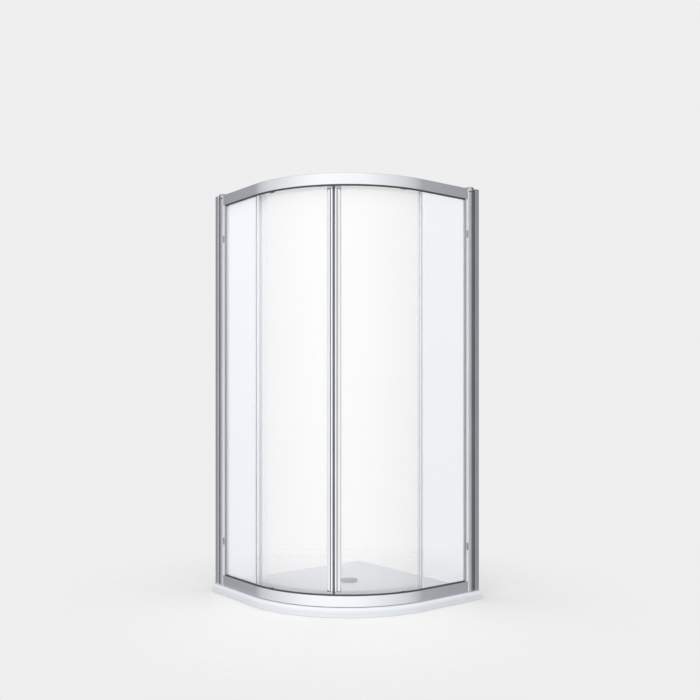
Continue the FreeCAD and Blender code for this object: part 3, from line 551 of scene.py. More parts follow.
class Shader:
    """Small helper that lays out one material's nodes."""

    def __init__(self, name: str) -> None:
        """Starts a material with one Principled shader."""
        self.material = bpy.data.materials.new(name)
        self.material.use_nodes = True
        self.tree = self.material.node_tree
        self.tree.nodes.clear()
        self.output = self.add("OutputMaterial")
        self.surface = self.add("BsdfPrincipled")
        self.show(self.surface.outputs["BSDF"])
        self.coordinates = self.add("TexCoord").outputs["Object"]

    def add(self, kind: str, inputs: dict[str | int, object] | None = None,
            **settings: object) -> bpy.types.Node:
        """Adds one node to the material."""
        return add_node(self.tree, kind, inputs, **settings)

    def show(self, shader: Socket) -> None:
        """Makes a shader the material's surface."""
        feed(self.tree, self.output.inputs["Surface"], shader)

    def set(self, **values: object) -> None:
        """Feeds inputs of the Principled shader; an underscore stands for a space."""
        for key, value in values.items():
            feed(self.tree, self.surface.inputs[key.replace("_", " ")], value)

    def noise(self, scale: float, stretch: Colour = WHITE, detail: float = 3.0) -> Socket:
        """Noise on Object coordinates.

        Args:
            scale: Noise cells to the metre.
            stretch: Factors on X, Y and Z; a small one draws the noise out along it.
            detail: Octaves of detail.

        Returns:
            The noise's value socket.
        """
        mapping = self.add("Mapping", {"Scale": stretch, "Vector": self.coordinates})
        return self.add("TexNoise", {"Scale": scale, "Detail": detail,
                                     "Vector": mapping.outputs["Vector"]}).outputs["Fac"]

    def span(self, value: Socket, low: float, high: float) -> Socket:
        """Spreads a noise value over a range."""
        ends = {"From Min": NOISE_SPAN[0], "From Max": NOISE_SPAN[1], "To Min": low, "To Max": high}
        return self.add("MapRange", {**ends, "Value": value}).outputs["Result"]

    def blend(self, value: Socket, first: Colour, second: Colour) -> Socket:
        """Mixes two colours by a noise value."""
        return self.add("Mix", {"A": (*first, 1.0), "B": (*second, 1.0),
                                "Factor": self.span(value, 0.0, 1.0)},
                        data_type="RGBA").outputs["Result"]

    def clear(self, tint: Colour) -> Socket:
        """A see-through shader of one tint."""
        return self.add("BsdfTransparent", {"Color": (*tint, 1.0)}).outputs["BSDF"]

    def mix(self, share: Socket, first: Socket, second: Socket) -> Socket:
        """Mixes two shaders; share is the second one's part."""
        return self.add("MixShader", {"Fac": share, 1: first, 2: second}).outputs["Shader"]

    def bump(self, value: Socket, strength: float, distance: float) -> None:
        """Raises the surface by a noise value."""
        node = self.add("Bump", {"Strength": strength, "Distance": distance, "Height": value})
        self.set(Normal=node.outputs["Normal"])


class Grain(Enum):
    """Which way the fine drawing lines of an extrusion run."""

    LEVEL = (6.0, 6.0, 900.0)
    UPRIGHT = (900.0, 900.0, 6.0)
    NONE = (260.0, 260.0, 260.0)


@dataclass(frozen=True)
class Finish:
    """An opaque finish: two close colours and a range of roughness."""

    name: str
    colour: Colour
    shade: Colour
    roughness: Span

    def spread(self, shader: Shader, cloud: Socket, gloss: Socket) -> None:
        """Spreads the colours by one noise and the roughness by another."""
        shader.set(Base_Color=shader.blend(cloud, self.colour, self.shade),
                   Roughness=shader.span(gloss, *self.roughness))


@dataclass(frozen=True)
class BrightMetal(Finish):
    """Polished or plated metal with faint drawing lines and handling marks."""

    grain: Grain = Grain.NONE

    def material(self) -> bpy.types.Material:
        """Builds the finish."""
        shader = Shader(self.name)
        streak = shader.noise(1.0, self.grain.value, 2.0)
        shader.set(Metallic=1.0)
        self.spread(shader, shader.noise(9.0), streak)
        shader.bump(streak, 0.05 if self.grain is Grain.NONE else 0.02, 0.00004)
        return shader.material


@dataclass(frozen=True)
class CastAcrylic(Finish):
    """Glossy white tray skin with the faint ripple of a moulded sheet."""

    def material(self) -> bpy.types.Material:
        """Builds the finish."""
        shader = Shader(self.name)
        shader.set(IOR=1.49, Coat_Weight=0.35, Coat_Roughness=0.06)
        cloud = shader.noise(5.0, detail=4.0)
        self.spread(shader, cloud, cloud)
        shader.bump(shader.noise(38.0, detail=1.0), 0.08, 0.0004)
        return shader.material


@dataclass(frozen=True)
class Moulding(Finish):
    """Plastic or rubber with a fine grain and slightly uneven colour."""

    depth: float = 0.15
    sheen: float = 0.0

    def material(self) -> bpy.types.Material:
        """Builds the finish."""
        shader = Shader(self.name)
        if self.sheen > 0.0:
            shader.set(Sheen_Weight=self.sheen, Sheen_Roughness=0.4)
        grit = shader.noise(900.0, detail=2.0)
        self.spread(shader, shader.noise(22.0), grit)
        shader.bump(grit, self.depth, 0.0001)
        return shader.material


@dataclass(frozen=True)
class ClearPane:
    """Clear glass or clear strip: see-through, with a pale veil and its own gloss."""

    name: str
    tint: Colour
    veil_colour: Colour
    veil: Span
    roughness: Span
    mirror: float = 0.0
    edge_gloss: float = 0.4
    edge_blend: float = 0.18

    def material(self) -> bpy.types.Material:
        """Builds the finish; light passes through it without a shadow."""
        shader = Shader(self.name)
        film = shader.noise(2.2)
        shader.set(IOR=1.45, Metallic=self.mirror, Base_Color=(*self.veil_colour, 1.0),
                   Roughness=shader.span(film, *self.roughness))
        facing = shader.add("LayerWeight", {"Blend": self.edge_blend})
        gain = shader.add("Math", {0: facing.outputs["Fresnel"], 1: self.edge_gloss,
                                   2: shader.span(film, *self.veil)}, operation="MULTIPLY_ADD")
        pane = shader.mix(gain.outputs["Value"], shader.clear(self.tint),
                          shader.surface.outputs["BSDF"])
        ray = shader.add("LightPath").outputs["Is Shadow Ray"]
        shader.show(shader.mix(ray, pane, shader.clear(WHITE)))
        return shader.material


class Palette:
    """Every finish of the enclosure, made once."""

    def __init__(self) -> None:
        """Builds the metals, the tray's skin, the clear finishes and the mouldings."""
        self.rail = BrightMetal("polished_rail", (0.84, 0.845, 0.85), (0.81, 0.815, 0.825),
                                (0.16, 0.22), Grain.LEVEL).material()
        # Painted shade: a darker copy of the polished aluminium that the bead shows, for the shade
        # on the post's sideways front.
        self.post = BrightMetal("polished_post", (0.49, 0.495, 0.505), (0.46, 0.465, 0.475),
                                (0.18, 0.24), Grain.UPRIGHT).material()
        # Painted shade: the channel's colour is darkened from the bead's polished aluminium, for
        # the shade on it.
        self.channel = BrightMetal("satin_channel", (0.64, 0.645, 0.65), (0.61, 0.615, 0.62),
                                   (0.24, 0.32), Grain.UPRIGHT).material()
        # Painted shade: a dark metal for the post's tongue in its reveal and for the stile's grip
        # groove, where shade falls.
        self.tongue = BrightMetal("painted_shade_metal", (0.27, 0.27, 0.28), (0.24, 0.24, 0.25),
                                  (0.50, 0.62), Grain.UPRIGHT).material()
        # Painted highlight: a bright matte metal for the post's side by the rail, painting the
        # light line there.
        self.painted_highlight = BrightMetal("painted_highlight_side", (0.95, 0.95, 0.955), (0.92, 0.92, 0.925),
                                (0.62, 0.72), Grain.UPRIGHT).material()
        self.bead = BrightMetal("polished_bead", (0.86, 0.86, 0.865), (0.83, 0.83, 0.84),
                                (0.14, 0.20), Grain.UPRIGHT).material()
        self.stile = BrightMetal("polished_stile", (0.87, 0.87, 0.875), (0.84, 0.845, 0.85),
                                 (0.13, 0.18), Grain.UPRIGHT).material()
        self.plated = BrightMetal("plated_trim", (0.58, 0.585, 0.59), (0.54, 0.545, 0.55),
                                  (0.12, 0.18)).material()
        self.bracket = BrightMetal("plated_bracket", (0.68, 0.68, 0.69), (0.60, 0.60, 0.62),
                                   (0.24, 0.38)).material()
        self.screw = BrightMetal("bright_screw", (0.66, 0.66, 0.67), (0.56, 0.56, 0.58),
                                 (0.22, 0.36)).material()
        self.cover = BrightMetal("plated_cover", (0.42, 0.42, 0.425), (0.38, 0.38, 0.385),
                                 (0.12, 0.20)).material()
        self.tray = CastAcrylic("tray_acrylic", (0.785, 0.803, 0.83), (0.765, 0.783, 0.812),
                                (0.16, 0.24)).material()
        self.curved_glass = ClearPane("curved_glass", WHITE, (0.99, 0.985, 0.975),
                                      (0.165, 0.195), (0.02, 0.05), 0.3).material()
        self.flat_glass = ClearPane("flat_glass", (0.99, 0.995, 1.0), (0.93, 0.945, 0.975),
                                    (0.12, 0.15), (0.02, 0.05)).material()
        self.glass_edge = ClearPane("glass_edge", (0.40, 0.46, 0.46), (0.24, 0.29, 0.29),
                                    (0.40, 0.50), (0.10, 0.20)).material()
        self.clear_strip = ClearPane("clear_strip", (0.985, 0.99, 0.99), (0.90, 0.91, 0.92),
                                     (0.17, 0.21), (0.14, 0.24)).material()
        self.grey_strip = Moulding("grey_strip", (0.060, 0.064, 0.070), (0.045, 0.048, 0.053),
                                   (0.38, 0.55), sheen=0.1).material()
        self.gasket = Moulding("grey_gasket", (0.30, 0.31, 0.32), (0.26, 0.27, 0.28),
                               (0.38, 0.52)).material()
        self.magnet_strip = Moulding("magnet_strip", (0.16, 0.165, 0.175), (0.12, 0.125, 0.135),
                                     (0.35, 0.50)).material()
        self.dark_rubber = Moulding("dark_rubber", (0.035, 0.035, 0.038), (0.022, 0.022, 0.025),
                                    (0.55, 0.75), sheen=0.2).material()
        self.end_plate = Moulding("pale_end_plate", (0.78, 0.785, 0.79), (0.73, 0.735, 0.745),
                                  (0.34, 0.46)).material()
        self.stile_end = Moulding("pale_stile_end", (0.93, 0.93, 0.935), (0.90, 0.90, 0.905),
                                  (0.34, 0.46)).material()
        self.clip = Moulding("grey_clip", (0.27, 0.275, 0.285), (0.23, 0.235, 0.245),
                             (0.30, 0.42)).material()
        self.waste_plastic = Moulding("waste_plastic", (0.26, 0.265, 0.27), (0.21, 0.215, 0.22),
                                      (0.35, 0.50)).material()
        self.nylon = Moulding("white_nylon", (0.86, 0.86, 0.84), (0.80, 0.80, 0.78),
                              (0.34, 0.46), depth=0.08).material()


def dress(piece: bpy.types.Object, material: bpy.types.Material) -> None:
    """Gives every face of a piece one finish."""
    piece.data.materials.clear()
    piece.data.materials.append(material)


def dress_node(name: str, material: bpy.types.Material) -> None:
    """Gives a CAD node one finish; its shape stays as it is."""
    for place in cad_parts[name].material_slots:
        place.material = material


def mark_faces(piece: bpy.types.Object, material: bpy.types.Material,
               where: Callable[[Vector, Vector], bool]) -> None:
    """Gives some faces of a dressed piece another finish.

    Args:
        piece: The dressed piece.
        material: The other finish.
        where: Takes a face's centre and normal, and says whether it gets that finish.
    """
    piece.data.materials.append(material)
    for face in piece.data.polygons:
        if where(face.center, face.normal):
            face.material_index = len(piece.data.materials) - 1


def enter(piece: bpy.types.Object, material: bpy.types.Material, body: str, slot: str,
          *nodes: str) -> None:
    """Shades and dresses a finished piece and books it in.

    Args:
        piece: The finished shape.
        material: Its finish.
        body: The CAD body that it moves with.
        slot: The record's material slot that its finish stands for; not used.
        nodes: The CAD nodes that it stands for.
    """
    shade(piece)
    dress(piece, material)
    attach(piece, body)
    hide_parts(*nodes)
    log.info("%s rides on %s, for %s", piece.name, body, ", ".join(nodes))


def enter_pair(piece: bpy.types.Object, material: bpy.types.Material, body: str, slot: str,
               *nodes: str) -> bpy.types.Object:
    """Books in a left piece and its mirror image on the right.

    Args:
        piece: The left piece, whose name begins with left_.
        material: The finish of both.
        body: The left piece's body.
        slot: The record's material slot.
        nodes: The CAD nodes that the left piece stands for.

    Returns:
        The right piece.
    """
    twin = copy_of(piece, on_right(piece.name), MIRROR)
    enter(piece, material, body, slot, *nodes)
    enter(twin, material, on_right(body), slot, *[on_right(node) for node in nodes])
    return twin


# ---- sub-assemblies --------------------------------------------------------------------
@dataclass
class Tray:
    """Low quadrant tray with a broad front rim and a shallow floor that falls to the waste."""

    palette: Palette
    edge_round: float = 0.011
    foot_in: float = 0.004
    rim_front: float = 0.084
    rim_wall: float = 0.030
    floor_drop: float = 0.010
    slope_in: float = 0.140
    recess_corner: float = 0.040
    dish_radius: float = 0.142
    dish_drop: float = 0.004
    dish_flat: float = 0.046
    waste_hole: float = 0.030
    pocket_radius: float = 0.060
    pocket_depth: float = 0.012
    cutter_start: float = -0.01
    recess_lift: float = 0.001
    dish_lift: float = 0.0001
    arc_steps: int = 72
    corner_steps: int = 10
    edge_steps: int = 8
    dish_facets: int = 96
    hole_facets: int = 64

    @property
    def floor(self) -> float:
        """Height of the level floor."""
        return SET.tray_height - self.floor_drop

    def quadrant(self, name: str, front: float, wall: float, z: float, corner: float,
                 depth: float) -> bpy.types.Object:
        """A slab with the tray's outline.

        Args:
            name: The slab's name.
            front: How far its front and arc stand in from the tray's.
            wall: How far its wall sides stand in.
            z: Height of its underside.
            corner: Radius of its other corners, or 0 for square ones.
            depth: Its height.

        Returns:
            The closed slab, out of edit mode.
        """
        left, near = wall - SET.half, front - SET.half
        right, far = SET.half - front, SET.half - wall
        points = [Vector((left, near, z)), Vector((right, near, z)), Vector((right, far, z)),
                  Vector((left, far, z))]
        slab = draw_line(name, points)
        bpy.ops.mesh.edge_face_add()
        round_corners(slab, [points[1]], SET.front_radius - front, self.arc_steps)
        if corner > 0.0:
            round_corners(slab, [points[0], *points[2:]], corner, self.corner_steps)
        select_mesh()
        push(rise(depth))
        close_up()
        return slab

    def shell(self) -> bpy.types.Object:
        """The tray's block: a foot that stands in a little under a rounded front edge."""
        half = SET.tray_height / 2
        block = self.quadrant("tray_shell", 0.0, 0.0, half, 0.0, half)
        pick(block, "VERT", self.on_front_edge)
        bpy.ops.mesh.bevel(offset=self.edge_round, offset_type="OFFSET", segments=self.edge_steps,
                           profile=0.5, affect="EDGES")
        set_mode("OBJECT")
        add_to(block, self.quadrant("tray_foot", self.foot_in, 0.0, 0.0, 0.0, half))
        return block

    def on_front_edge(self, at: Vector, _: Vector) -> bool:
        """True for the top corners along the front, the arc and the right side."""
        beside_wall = at.x < NEAR - SET.half and at.y > NEAR - SET.half
        behind = at.y > SET.half - NEAR and at.x < SET.half - NEAR
        return at.z > SET.tray_height - NEAR and not beside_wall and not behind

    def recess(self) -> bpy.types.Object:
        """The shape that is pressed out of the tray: sloping sides over a level floor."""
        floor, lift = self.floor, self.recess_lift
        spread = self.slope_in * lift / self.floor_drop
        shape = self.quadrant("recess", self.rim_front - spread, self.rim_wall - spread, floor,
                              self.recess_corner, self.floor_drop + lift)
        low = self.quadrant("recess_floor", self.rim_front + self.slope_in,
                            self.rim_wall + self.slope_in, floor, self.recess_corner, lift)
        goals = [corner.co.copy() for corner in low.data.vertices if corner.co.z < floor + NEAR]
        feet = [corner for corner in shape.data.vertices if corner.co.z < floor + NEAR]
        for foot, goal in zip(feet, goals):
            foot.co = goal
        bpy.data.objects.remove(low)
        return shape

    def dish(self) -> bpy.types.Object:
        """The shallow cone that leads water to the waste."""
        floor, lift = self.floor, self.dish_lift
        spread = lift * (self.dish_radius - self.dish_flat) / self.dish_drop
        profile = [(floor - self.dish_drop, 0.0), (floor - self.dish_drop, self.dish_flat),
                   (floor + lift, self.dish_radius + spread), (floor + lift, 0.0)]
        return turned("dish", profile, SET.at_waste, UP, self.dish_facets)

    def well(self, name: str, radius: float, top: float) -> bpy.types.Object:
        """A round bar on the waste's axis, from below the tray up to a height."""
        profile = rod(self.cutter_start, top, radius)
        return turned(name, profile, SET.at_waste, UP, self.hole_facets)

    def build(self) -> None:
        """Models the tray, presses its floor, cuts its waste hole and dresses it."""
        tray = self.shell()
        cut_away(tray, self.recess())
        cut_away(tray, self.dish())
        cut_away(tray, self.well("nut_pocket", self.pocket_radius, self.pocket_depth))
        cut_away(tray, self.well("waste_hole", self.waste_hole, SET.tray_height))
        enter(tray, self.palette.tray, "frame", "acrylic_white", "shower_tray")


@dataclass
class Waste:
    """Waste fitting: flanged body, gasket, clamp nut and a domed cover on short legs."""

    palette: Palette
    seat: float = 0.0275
    bore: float = 0.025
    neck: float = 0.029
    neck_end: float = 0.001
    flange: float = 0.039
    flange_thickness: float = 0.0025
    gasket_thickness: float = 0.0015
    cover: float = 0.042
    cover_thickness: float = 0.002
    cover_gap: float = 0.003
    dome: float = 0.0025
    dome_steps: int = 10
    legs: int = 3
    leg: float = 0.003
    leg_sink: float = 0.0015
    nut: float = 0.044
    nut_top: float = 0.012
    nut_height: float = 0.008
    lugs: int = 6
    lug: float = 0.006
    facets: int = 72

    def spun(self, name: str, profile: Outline, facets: int, aside: Vector) -> bpy.types.Object:
        """A piece turned about an upright axis that stands aside from the waste's."""
        return turned(name, profile, lambda z, r: SET.at_waste(z, r) + aside, UP, facets)

    def around(self, name: str, count: int, reach: float, profile: Outline,
               facets: int) -> list[bpy.types.Object]:
        """Small turned pieces in even steps round the waste's axis.

        Args:
            name: Their name.
            count: How many.
            reach: Their distance from the waste's axis.
            profile: Their half profile.
            facets: Flats round each.

        Returns:
            The pieces.
        """
        angles = [2 * math.pi * turn / count for turn in range(count)]
        return [self.spun(name, profile, facets,
                          Vector((math.cos(angle), math.sin(angle), 0.0)) * reach)
                for angle in angles]

    def body(self) -> None:
        """The body: a rounded flange on a threaded neck."""
        top = self.seat + self.flange_thickness
        ease = self.flange_thickness / 2
        profile = [(self.neck_end, self.bore), (self.neck_end, self.neck), (self.seat, self.neck),
                   (self.seat, self.flange), (top - ease, self.flange),
                   (top - ease / 3, self.flange - ease / 3), (top, self.flange - ease),
                   (top, self.bore + ease), (top - ease, self.bore)]
        piece = turned("waste_flange", profile, SET.at_waste, UP, self.facets)
        enter(piece, self.palette.waste_plastic, "frame", "waste_plastic", "waste_body")

    def gasket(self) -> None:
        """The flat ring under the flange."""
        profile = ring(self.seat - self.gasket_thickness, self.seat, self.neck + 0.0002,
                       self.flange - 0.001)
        piece = turned("waste_ring", profile, SET.at_waste, UP, self.facets)
        enter(piece, self.palette.dark_rubber, "frame", "grey_rubber", "waste_gasket")

    def clamp_nut(self) -> None:
        """The nut that draws the body down from below, with its grip lugs."""
        base = self.nut_top - self.nut_height
        profile = ring(base, self.nut_top, self.neck + 0.0001, self.nut - 0.004)
        piece = turned("waste_nut", profile, SET.at_waste, UP, self.facets)
        for lug in self.around("nut_lug", self.lugs, self.nut - self.lug,
                               rod(base, self.nut_top, self.lug), 24):
            add_to(piece, lug)
        ease_edges(piece, 0.0006)
        enter(piece, self.palette.waste_plastic, "frame", "waste_plastic", "waste_clamp_nut")

    def cap(self) -> None:
        """The domed cover with a rolled rim, and its three legs on the flange."""
        floor = self.seat + self.flange_thickness
        base, rim = floor + self.cover_gap, self.cover
        crown = base + self.dome + self.cover_thickness
        profile = [(crown, 0.0)]
        for step in range(1, self.dome_steps + 1):
            reach = step / self.dome_steps
            profile.append((crown - self.dome * reach ** 2, rim * reach))
        profile += [(base + 0.0006, rim), (base, rim - 0.0008), (base + 0.0006, rim - 0.003),
                    (base + self.dome * 0.9, rim * 0.4), (base + self.dome, 0.0)]
        cover = turned("waste_lid", profile, SET.at_waste, UP, 96)
        legs = self.around("lid_leg", self.legs, (self.bore + self.flange) / 2,
                           rod(floor, base + self.leg_sink, self.leg), 20)
        piece = joined("waste_lid", [cover, *legs])
        enter(piece, self.palette.cover, "frame", "plated_cover", "waste_cover")

    def build(self) -> None:
        """Models the fitting from the bore outwards."""
        self.body()
        self.gasket()
        self.clamp_nut()
        self.cap()


@dataclass
class BentRail:
    """One aluminium rail, bent round the quadrant, with its track, flanges and wiper."""

    palette: Palette
    level: Level
    face: float = 0.048
    wall: float = 0.002
    lip: float = 0.004
    partition: tuple[float, float] = (0.015, 0.017)
    partition_height: float = 0.034
    track: tuple[float, float] = (0.025, 0.027)
    track_edge: float = 0.035
    bead: float = 0.0014
    skirt: tuple[float, float] = (0.052, 0.054)
    skirt_height: float = 0.022
    back_round: float = 0.0016
    lip_round: float = 0.0008
    joint: tuple[float, float] = (0.0016, 0.004)
    start: float = 0.0697
    wiper_start: float = 0.0860
    wiper_rise: float = 0.0065
    wiper_thickness: float = 0.0014
    wiper_root: float = 0.008
    wiper_reach: float = 0.0067
    wiper_gap: float = 0.0002
    arc_steps: int = 96

    def section(self) -> Outline:
        """Section of the rail in (u, v); the bottom rail has a rebate at the tray, whose dark faces
        are painted shade.
        """
        wall, face = self.wall, self.face
        inner, outer = self.partition
        under, over = self.track
        edge, bead = self.track_edge, self.bead
        joint, deep = self.joint
        foot = [(0.0, 0.0, self.back_round)]
        if self.level is Level.BOTTOM:
            foot = [(deep, 0.0), (deep, joint), (0.0, joint)]
        return [
            *foot, (0.0, face, self.lip_round), (self.lip, face), (self.lip, face - wall),
            (wall, face - wall), (wall, wall), (inner, wall), (inner, self.partition_height),
            (outer, self.partition_height), (outer, over), (edge, over), (edge, under - bead),
            (edge - bead, under - bead), (edge - bead, under), (outer, under), (outer, wall),
            (self.skirt[0], wall), (self.skirt[0], self.skirt_height),
            (self.skirt[1], self.skirt_height), (self.skirt[1], 0.0, self.back_round),
        ]

    def wiper_section(self) -> Outline:
        """Section of the soft wiper that grips the rail's lip and leans on the glass."""
        gap, thick = self.wiper_gap, self.wiper_thickness
        root, edge = self.lip + gap, self.face + gap
        heel, tip = edge - self.wiper_root, self.face + self.wiper_rise
        reach = self.wiper_reach
        return [
            (root, heel), (root + thick, heel), (root + thick, edge), (reach, tip),
            (reach - thick, tip), (self.wall, edge + thick), (self.wall, edge), (root, edge),
        ]

    def build(self) -> None:
        """Bends the rail and its wiper."""
        level = self.level.value
        z_of = self.level.height()
        rail = bent(f"{level}_bent_rail", self.section(), z_of, self.start, self.arc_steps)
        ease_edges(rail, FINE_EASE)
        enter(rail, self.palette.rail, "frame", "polished_rail", f"{level}_rail")
        # Painted shade: the rebate's faces under the bottom rail take the dark rubber, as the
        # contact shadow between rail and tray.
        if self.level is Level.BOTTOM:
            low = SET.tray_height + NEAR
            high = SET.tray_height + self.joint[0] + NEAR
            mark_faces(rail, self.palette.dark_rubber,
                       lambda at, normal: low < at.z < high and normal.z < UPWARD)
        wiper = bent(f"{level}_wiper_strip", self.wiper_section(), z_of, self.wiper_start,
                     self.arc_steps)
        ease_edges(wiper, FINE_EASE)
        enter(wiper, self.palette.grey_strip, "frame", "grey_seal", f"{level}_wiper")


@dataclass
class WallPost:
    """What stands at each wall: the channel, the round-fronted post, caps and rail ends."""

    palette: Palette
    channel: tuple[float, float] = (-0.002, 0.033)
    leg: float = 0.023
    channel_top: float = 0.001
    channel_cap: float = 0.002
    wall: float = 0.002
    channel_round: float = 0.0008
    hooks: tuple[float, float] = (0.0036, 0.0304)
    hook_lip: float = 0.003
    tongue: tuple[float, float] = (0.004, 0.030)
    tongue_end: float = 0.004
    post: tuple[float, float] = (0.033, 0.065)
    crest: float = -0.004
    edge_u: float = 0.001
    depth: float = 0.036
    post_round: float = 0.0010
    side_band: float = 0.0005
    cap_rise: float = 0.008
    cap_skirt: float = 0.014
    cap_grow: float = 0.00135
    cap_gap: float = 0.00015
    shadow_ring_height: float = 0.003
    cap_round: float = 0.0015
    cap_steps: int = 4
    sleeve_round: float = 0.001
    sleeve_gap: float = 0.0001
    overrun: float = 0.001
    shadow_ring_in: float = 0.0003
    plate: tuple[float, float] = (0.06505, 0.06965)
    plate_gap: float = 0.0003
    plate_head: float = 0.0477
    plate_knee: float = 0.016
    plate_slope: tuple[float, float] = (0.034, 0.026)
    plate_back: float = 0.0537
    screws: tuple[float, ...] = (0.160, 0.921, 1.682)
    screw_s: float = 0.0145
    screw_length: float = 0.009
    shank: float = 0.00155
    head: float = 0.0034
    head_steps: tuple[tuple[float, float], ...] = (
        (0.0011, 0.0034), (0.0019, 0.0026), (0.0022, 0.0014), (0.0022, 0.0))
    cross: tuple[float, float] = (0.0016, 0.0004)
    cross_floor: float = 0.0012
    cross_cut: float = 0.002
    facets: int = 28
    bow_steps: int = 16

    def bow(self, grow: float) -> Outline:
        """The post's bowed front, from its wall side to its rail side."""
        first, last = self.post
        half = (last - first) / 2
        bulge = self.edge_u - self.crest
        radius = (half * half + bulge * bulge) / (2 * bulge)
        reach = half + grow
        lean = math.asin(reach / (radius + grow))
        points = []
        for step in range(self.bow_steps + 1):
            angle = lean * (2.0 * step / self.bow_steps - 1.0)
            points.append((first + half + (radius + grow) * math.sin(angle),
                           self.crest + radius - (radius + grow) * math.cos(angle)))
        return points

    def post_section(self) -> Outline:
        """Section of the post and its tongue in (s, u)."""
        first, last = self.post
        near, far = self.tongue
        end, corner = self.tongue_end, self.post_round
        return [*self.bow(0.0), (last, self.depth, corner), (first, self.depth, corner),
                (first, far), (end, far), (end, near), (first, near)]

    def channel_section(self) -> Outline:
        """Section of the wall channel in (s, u)."""
        u0, u1 = self.channel
        wall, leg, corner = self.wall, self.leg, self.channel_round
        front_hook, back_hook = self.hooks
        short = leg - self.hook_lip
        return [
            (0.0, u0, corner), (leg, u0, corner), (leg, front_hook), (leg - wall, front_hook),
            (leg - wall, u0 + wall), (wall, u0 + wall), (wall, u1 - wall), (short, u1 - wall),
            (short, back_hook), (leg, back_hook), (leg, u1, corner), (0.0, u1, corner),
        ]

    def channel_piece(self) -> None:
        """The wall channel and its flat cap."""
        z0, top = SET.tray_height, SET.top + self.channel_top
        piece = bar("left_channel", self.channel_section(), SET.upright(z0), rise(top - z0),
                    FINE_EASE)
        enter_pair(piece, self.palette.channel, "frame", "polished_post", "left_wall_channel")
        # Painted highlight: the channel's leg ends by the post take the pale plastic, as a light
        # edge line.
        edge = self.leg - SET.half - NEAR
        mark_faces(piece, self.palette.end_plate, lambda at, _: at.x > edge)
        u0, u1 = self.channel
        cap = bar("left_channel_lid", oblong(0.0, u0, self.leg, u1, self.channel_round),
                  SET.upright(top), rise(self.channel_cap), ease=0.0005)
        enter_pair(cap, self.palette.plated, "frame", "plated_cap", "channel_caps")

    def post_piece(self) -> None:
        """The post, bowed towards the room, with its tongue in the wall channel; the tongue has
        painted shade and the side by the rail a painted highlight.
        """
        z0 = SET.tray_height
        piece = bar("left_bowed_post", self.post_section(), SET.upright(z0),
                    rise(SET.top - z0), FINE_EASE)
        twin = enter_pair(piece, self.palette.post, "frame", "polished_post", "left_post")
        edge = self.post[0] - SET.half - self.side_band
        side = self.post[1] - SET.half - self.side_band
        # Painted shade: the tongue's faces in the reveal get the dark metal.
        mark_faces(piece, self.palette.tongue, lambda at, _: at.x < edge)
        mark_faces(twin, self.palette.tongue, lambda at, _: at.y > -edge)
        # Painted highlight: the post's side by the rail gets the bright matte metal.
        mark_faces(piece, self.palette.painted_highlight, lambda at, _: at.x > side)
        mark_faces(twin, self.palette.painted_highlight, lambda at, _: at.y < -side)

    def cap_piece(self) -> None:
        """The cap that sleeves over the post's head, with a dark ring under it as a painted shadow
        line.
        """
        base, z1 = SET.top - self.cap_skirt, SET.top + self.cap_rise
        z0 = base + self.shadow_ring_height
        shadow_ring = bar("left_head_ring", self.sleeve(self.cap_grow - self.shadow_ring_in),
                     SET.upright(base), rise(self.shadow_ring_height))
        cap = bar("left_post_head", self.sleeve(self.cap_grow), SET.upright(z0), rise(z1 - z0))
        pick(cap, "VERT", lambda at, _: at.z > z1 - NEAR)
        bpy.ops.mesh.bevel(offset=self.cap_round, segments=self.cap_steps, profile=0.5,
                           affect="EDGES")
        set_mode("OBJECT")
        for piece in (cap, shadow_ring):
            cut_away(piece, self.hollow(base))
        ease_edges(cap, 0.0002, segments=1, degrees=60.0)
        enter_pair(cap, self.palette.plated, "frame", "plated_cap", "left_post_cap")
        # Painted shadow: the dark ring paints the shadow line under the cap's lip.
        enter_pair(shadow_ring, self.palette.dark_rubber, "frame", "grey_rubber", "left_post_cap")

    def sleeve(self, grow: float) -> Outline:
        """The cap's outline, clear of the rail and the channel."""
        first, last = self.post
        deep = self.depth + grow
        front = [corner for corner in self.bow(grow) if first < corner[0] < last]
        gap, corner = self.sleeve_gap, self.sleeve_round
        return [*front, (last - gap, deep, corner), (first + gap, deep, corner)]

    def hollow(self, base: float) -> bpy.types.Object:
        """The post's own shape, to cut out of what sleeves over it."""
        first, last = self.post
        deep = self.depth + self.cap_gap
        past = self.overrun
        outline = [*self.bow(self.cap_gap), (last + past, deep), (first - past, deep)]
        return bar("head_hollow", outline, SET.upright(base - past), rise(self.cap_skirt + past))

    def rail_ends(self) -> None:
        """The moulded plates between the post and both rails' ends."""
        gap, head, back, knee = self.plate_gap, self.plate_head, self.plate_back, self.plate_knee
        high, low = self.plate_slope
        outline = [(gap, gap, 0.0015), (gap, head, 0.001), (knee, head, 0.001), (knee, high),
                   (back, low, 0.002), (back, gap, 0.0015)]
        near, far = self.plate
        for level in Level:
            piece = bar(f"left_{level.value}_end_plate", outline,
                        SET.across(near - SET.half, level.height()),
                        Vector((far - near, 0.0, 0.0)), ease=0.0004)
            enter_pair(piece, self.palette.end_plate, "frame", "grey_plastic",
                       f"left_{level.value}_connector")

    def lock_screw(self, v: float) -> bpy.types.Object:
        """One cross-headed screw, v above the tray."""
        def place(u: float, radius: float) -> Vector:
            """A place beside the screw's axis."""
            return Vector((self.screw_s + radius - SET.half, SET.face_y + u, SET.low(v)))

        back = self.channel[1]
        profile = [(back - self.screw_length, 0.0), (back - self.screw_length, self.shank),
                   (back, self.shank), (back, self.head),
                   *[(back + out, radius) for out, radius in self.head_steps]]
        screw = turned("lock_screw", profile, place, INWARD, self.facets)
        at = place(back + self.cross_floor, 0.0)
        for wide, tall in (self.cross, self.cross[::-1]):
            cut_away(screw, bar("cross", oblong(-wide, -tall, wide, tall),
                                lambda a, b: at + Vector((a, 0.0, b)),
                                Vector((0.0, self.cross_cut, 0.0))))
        return screw

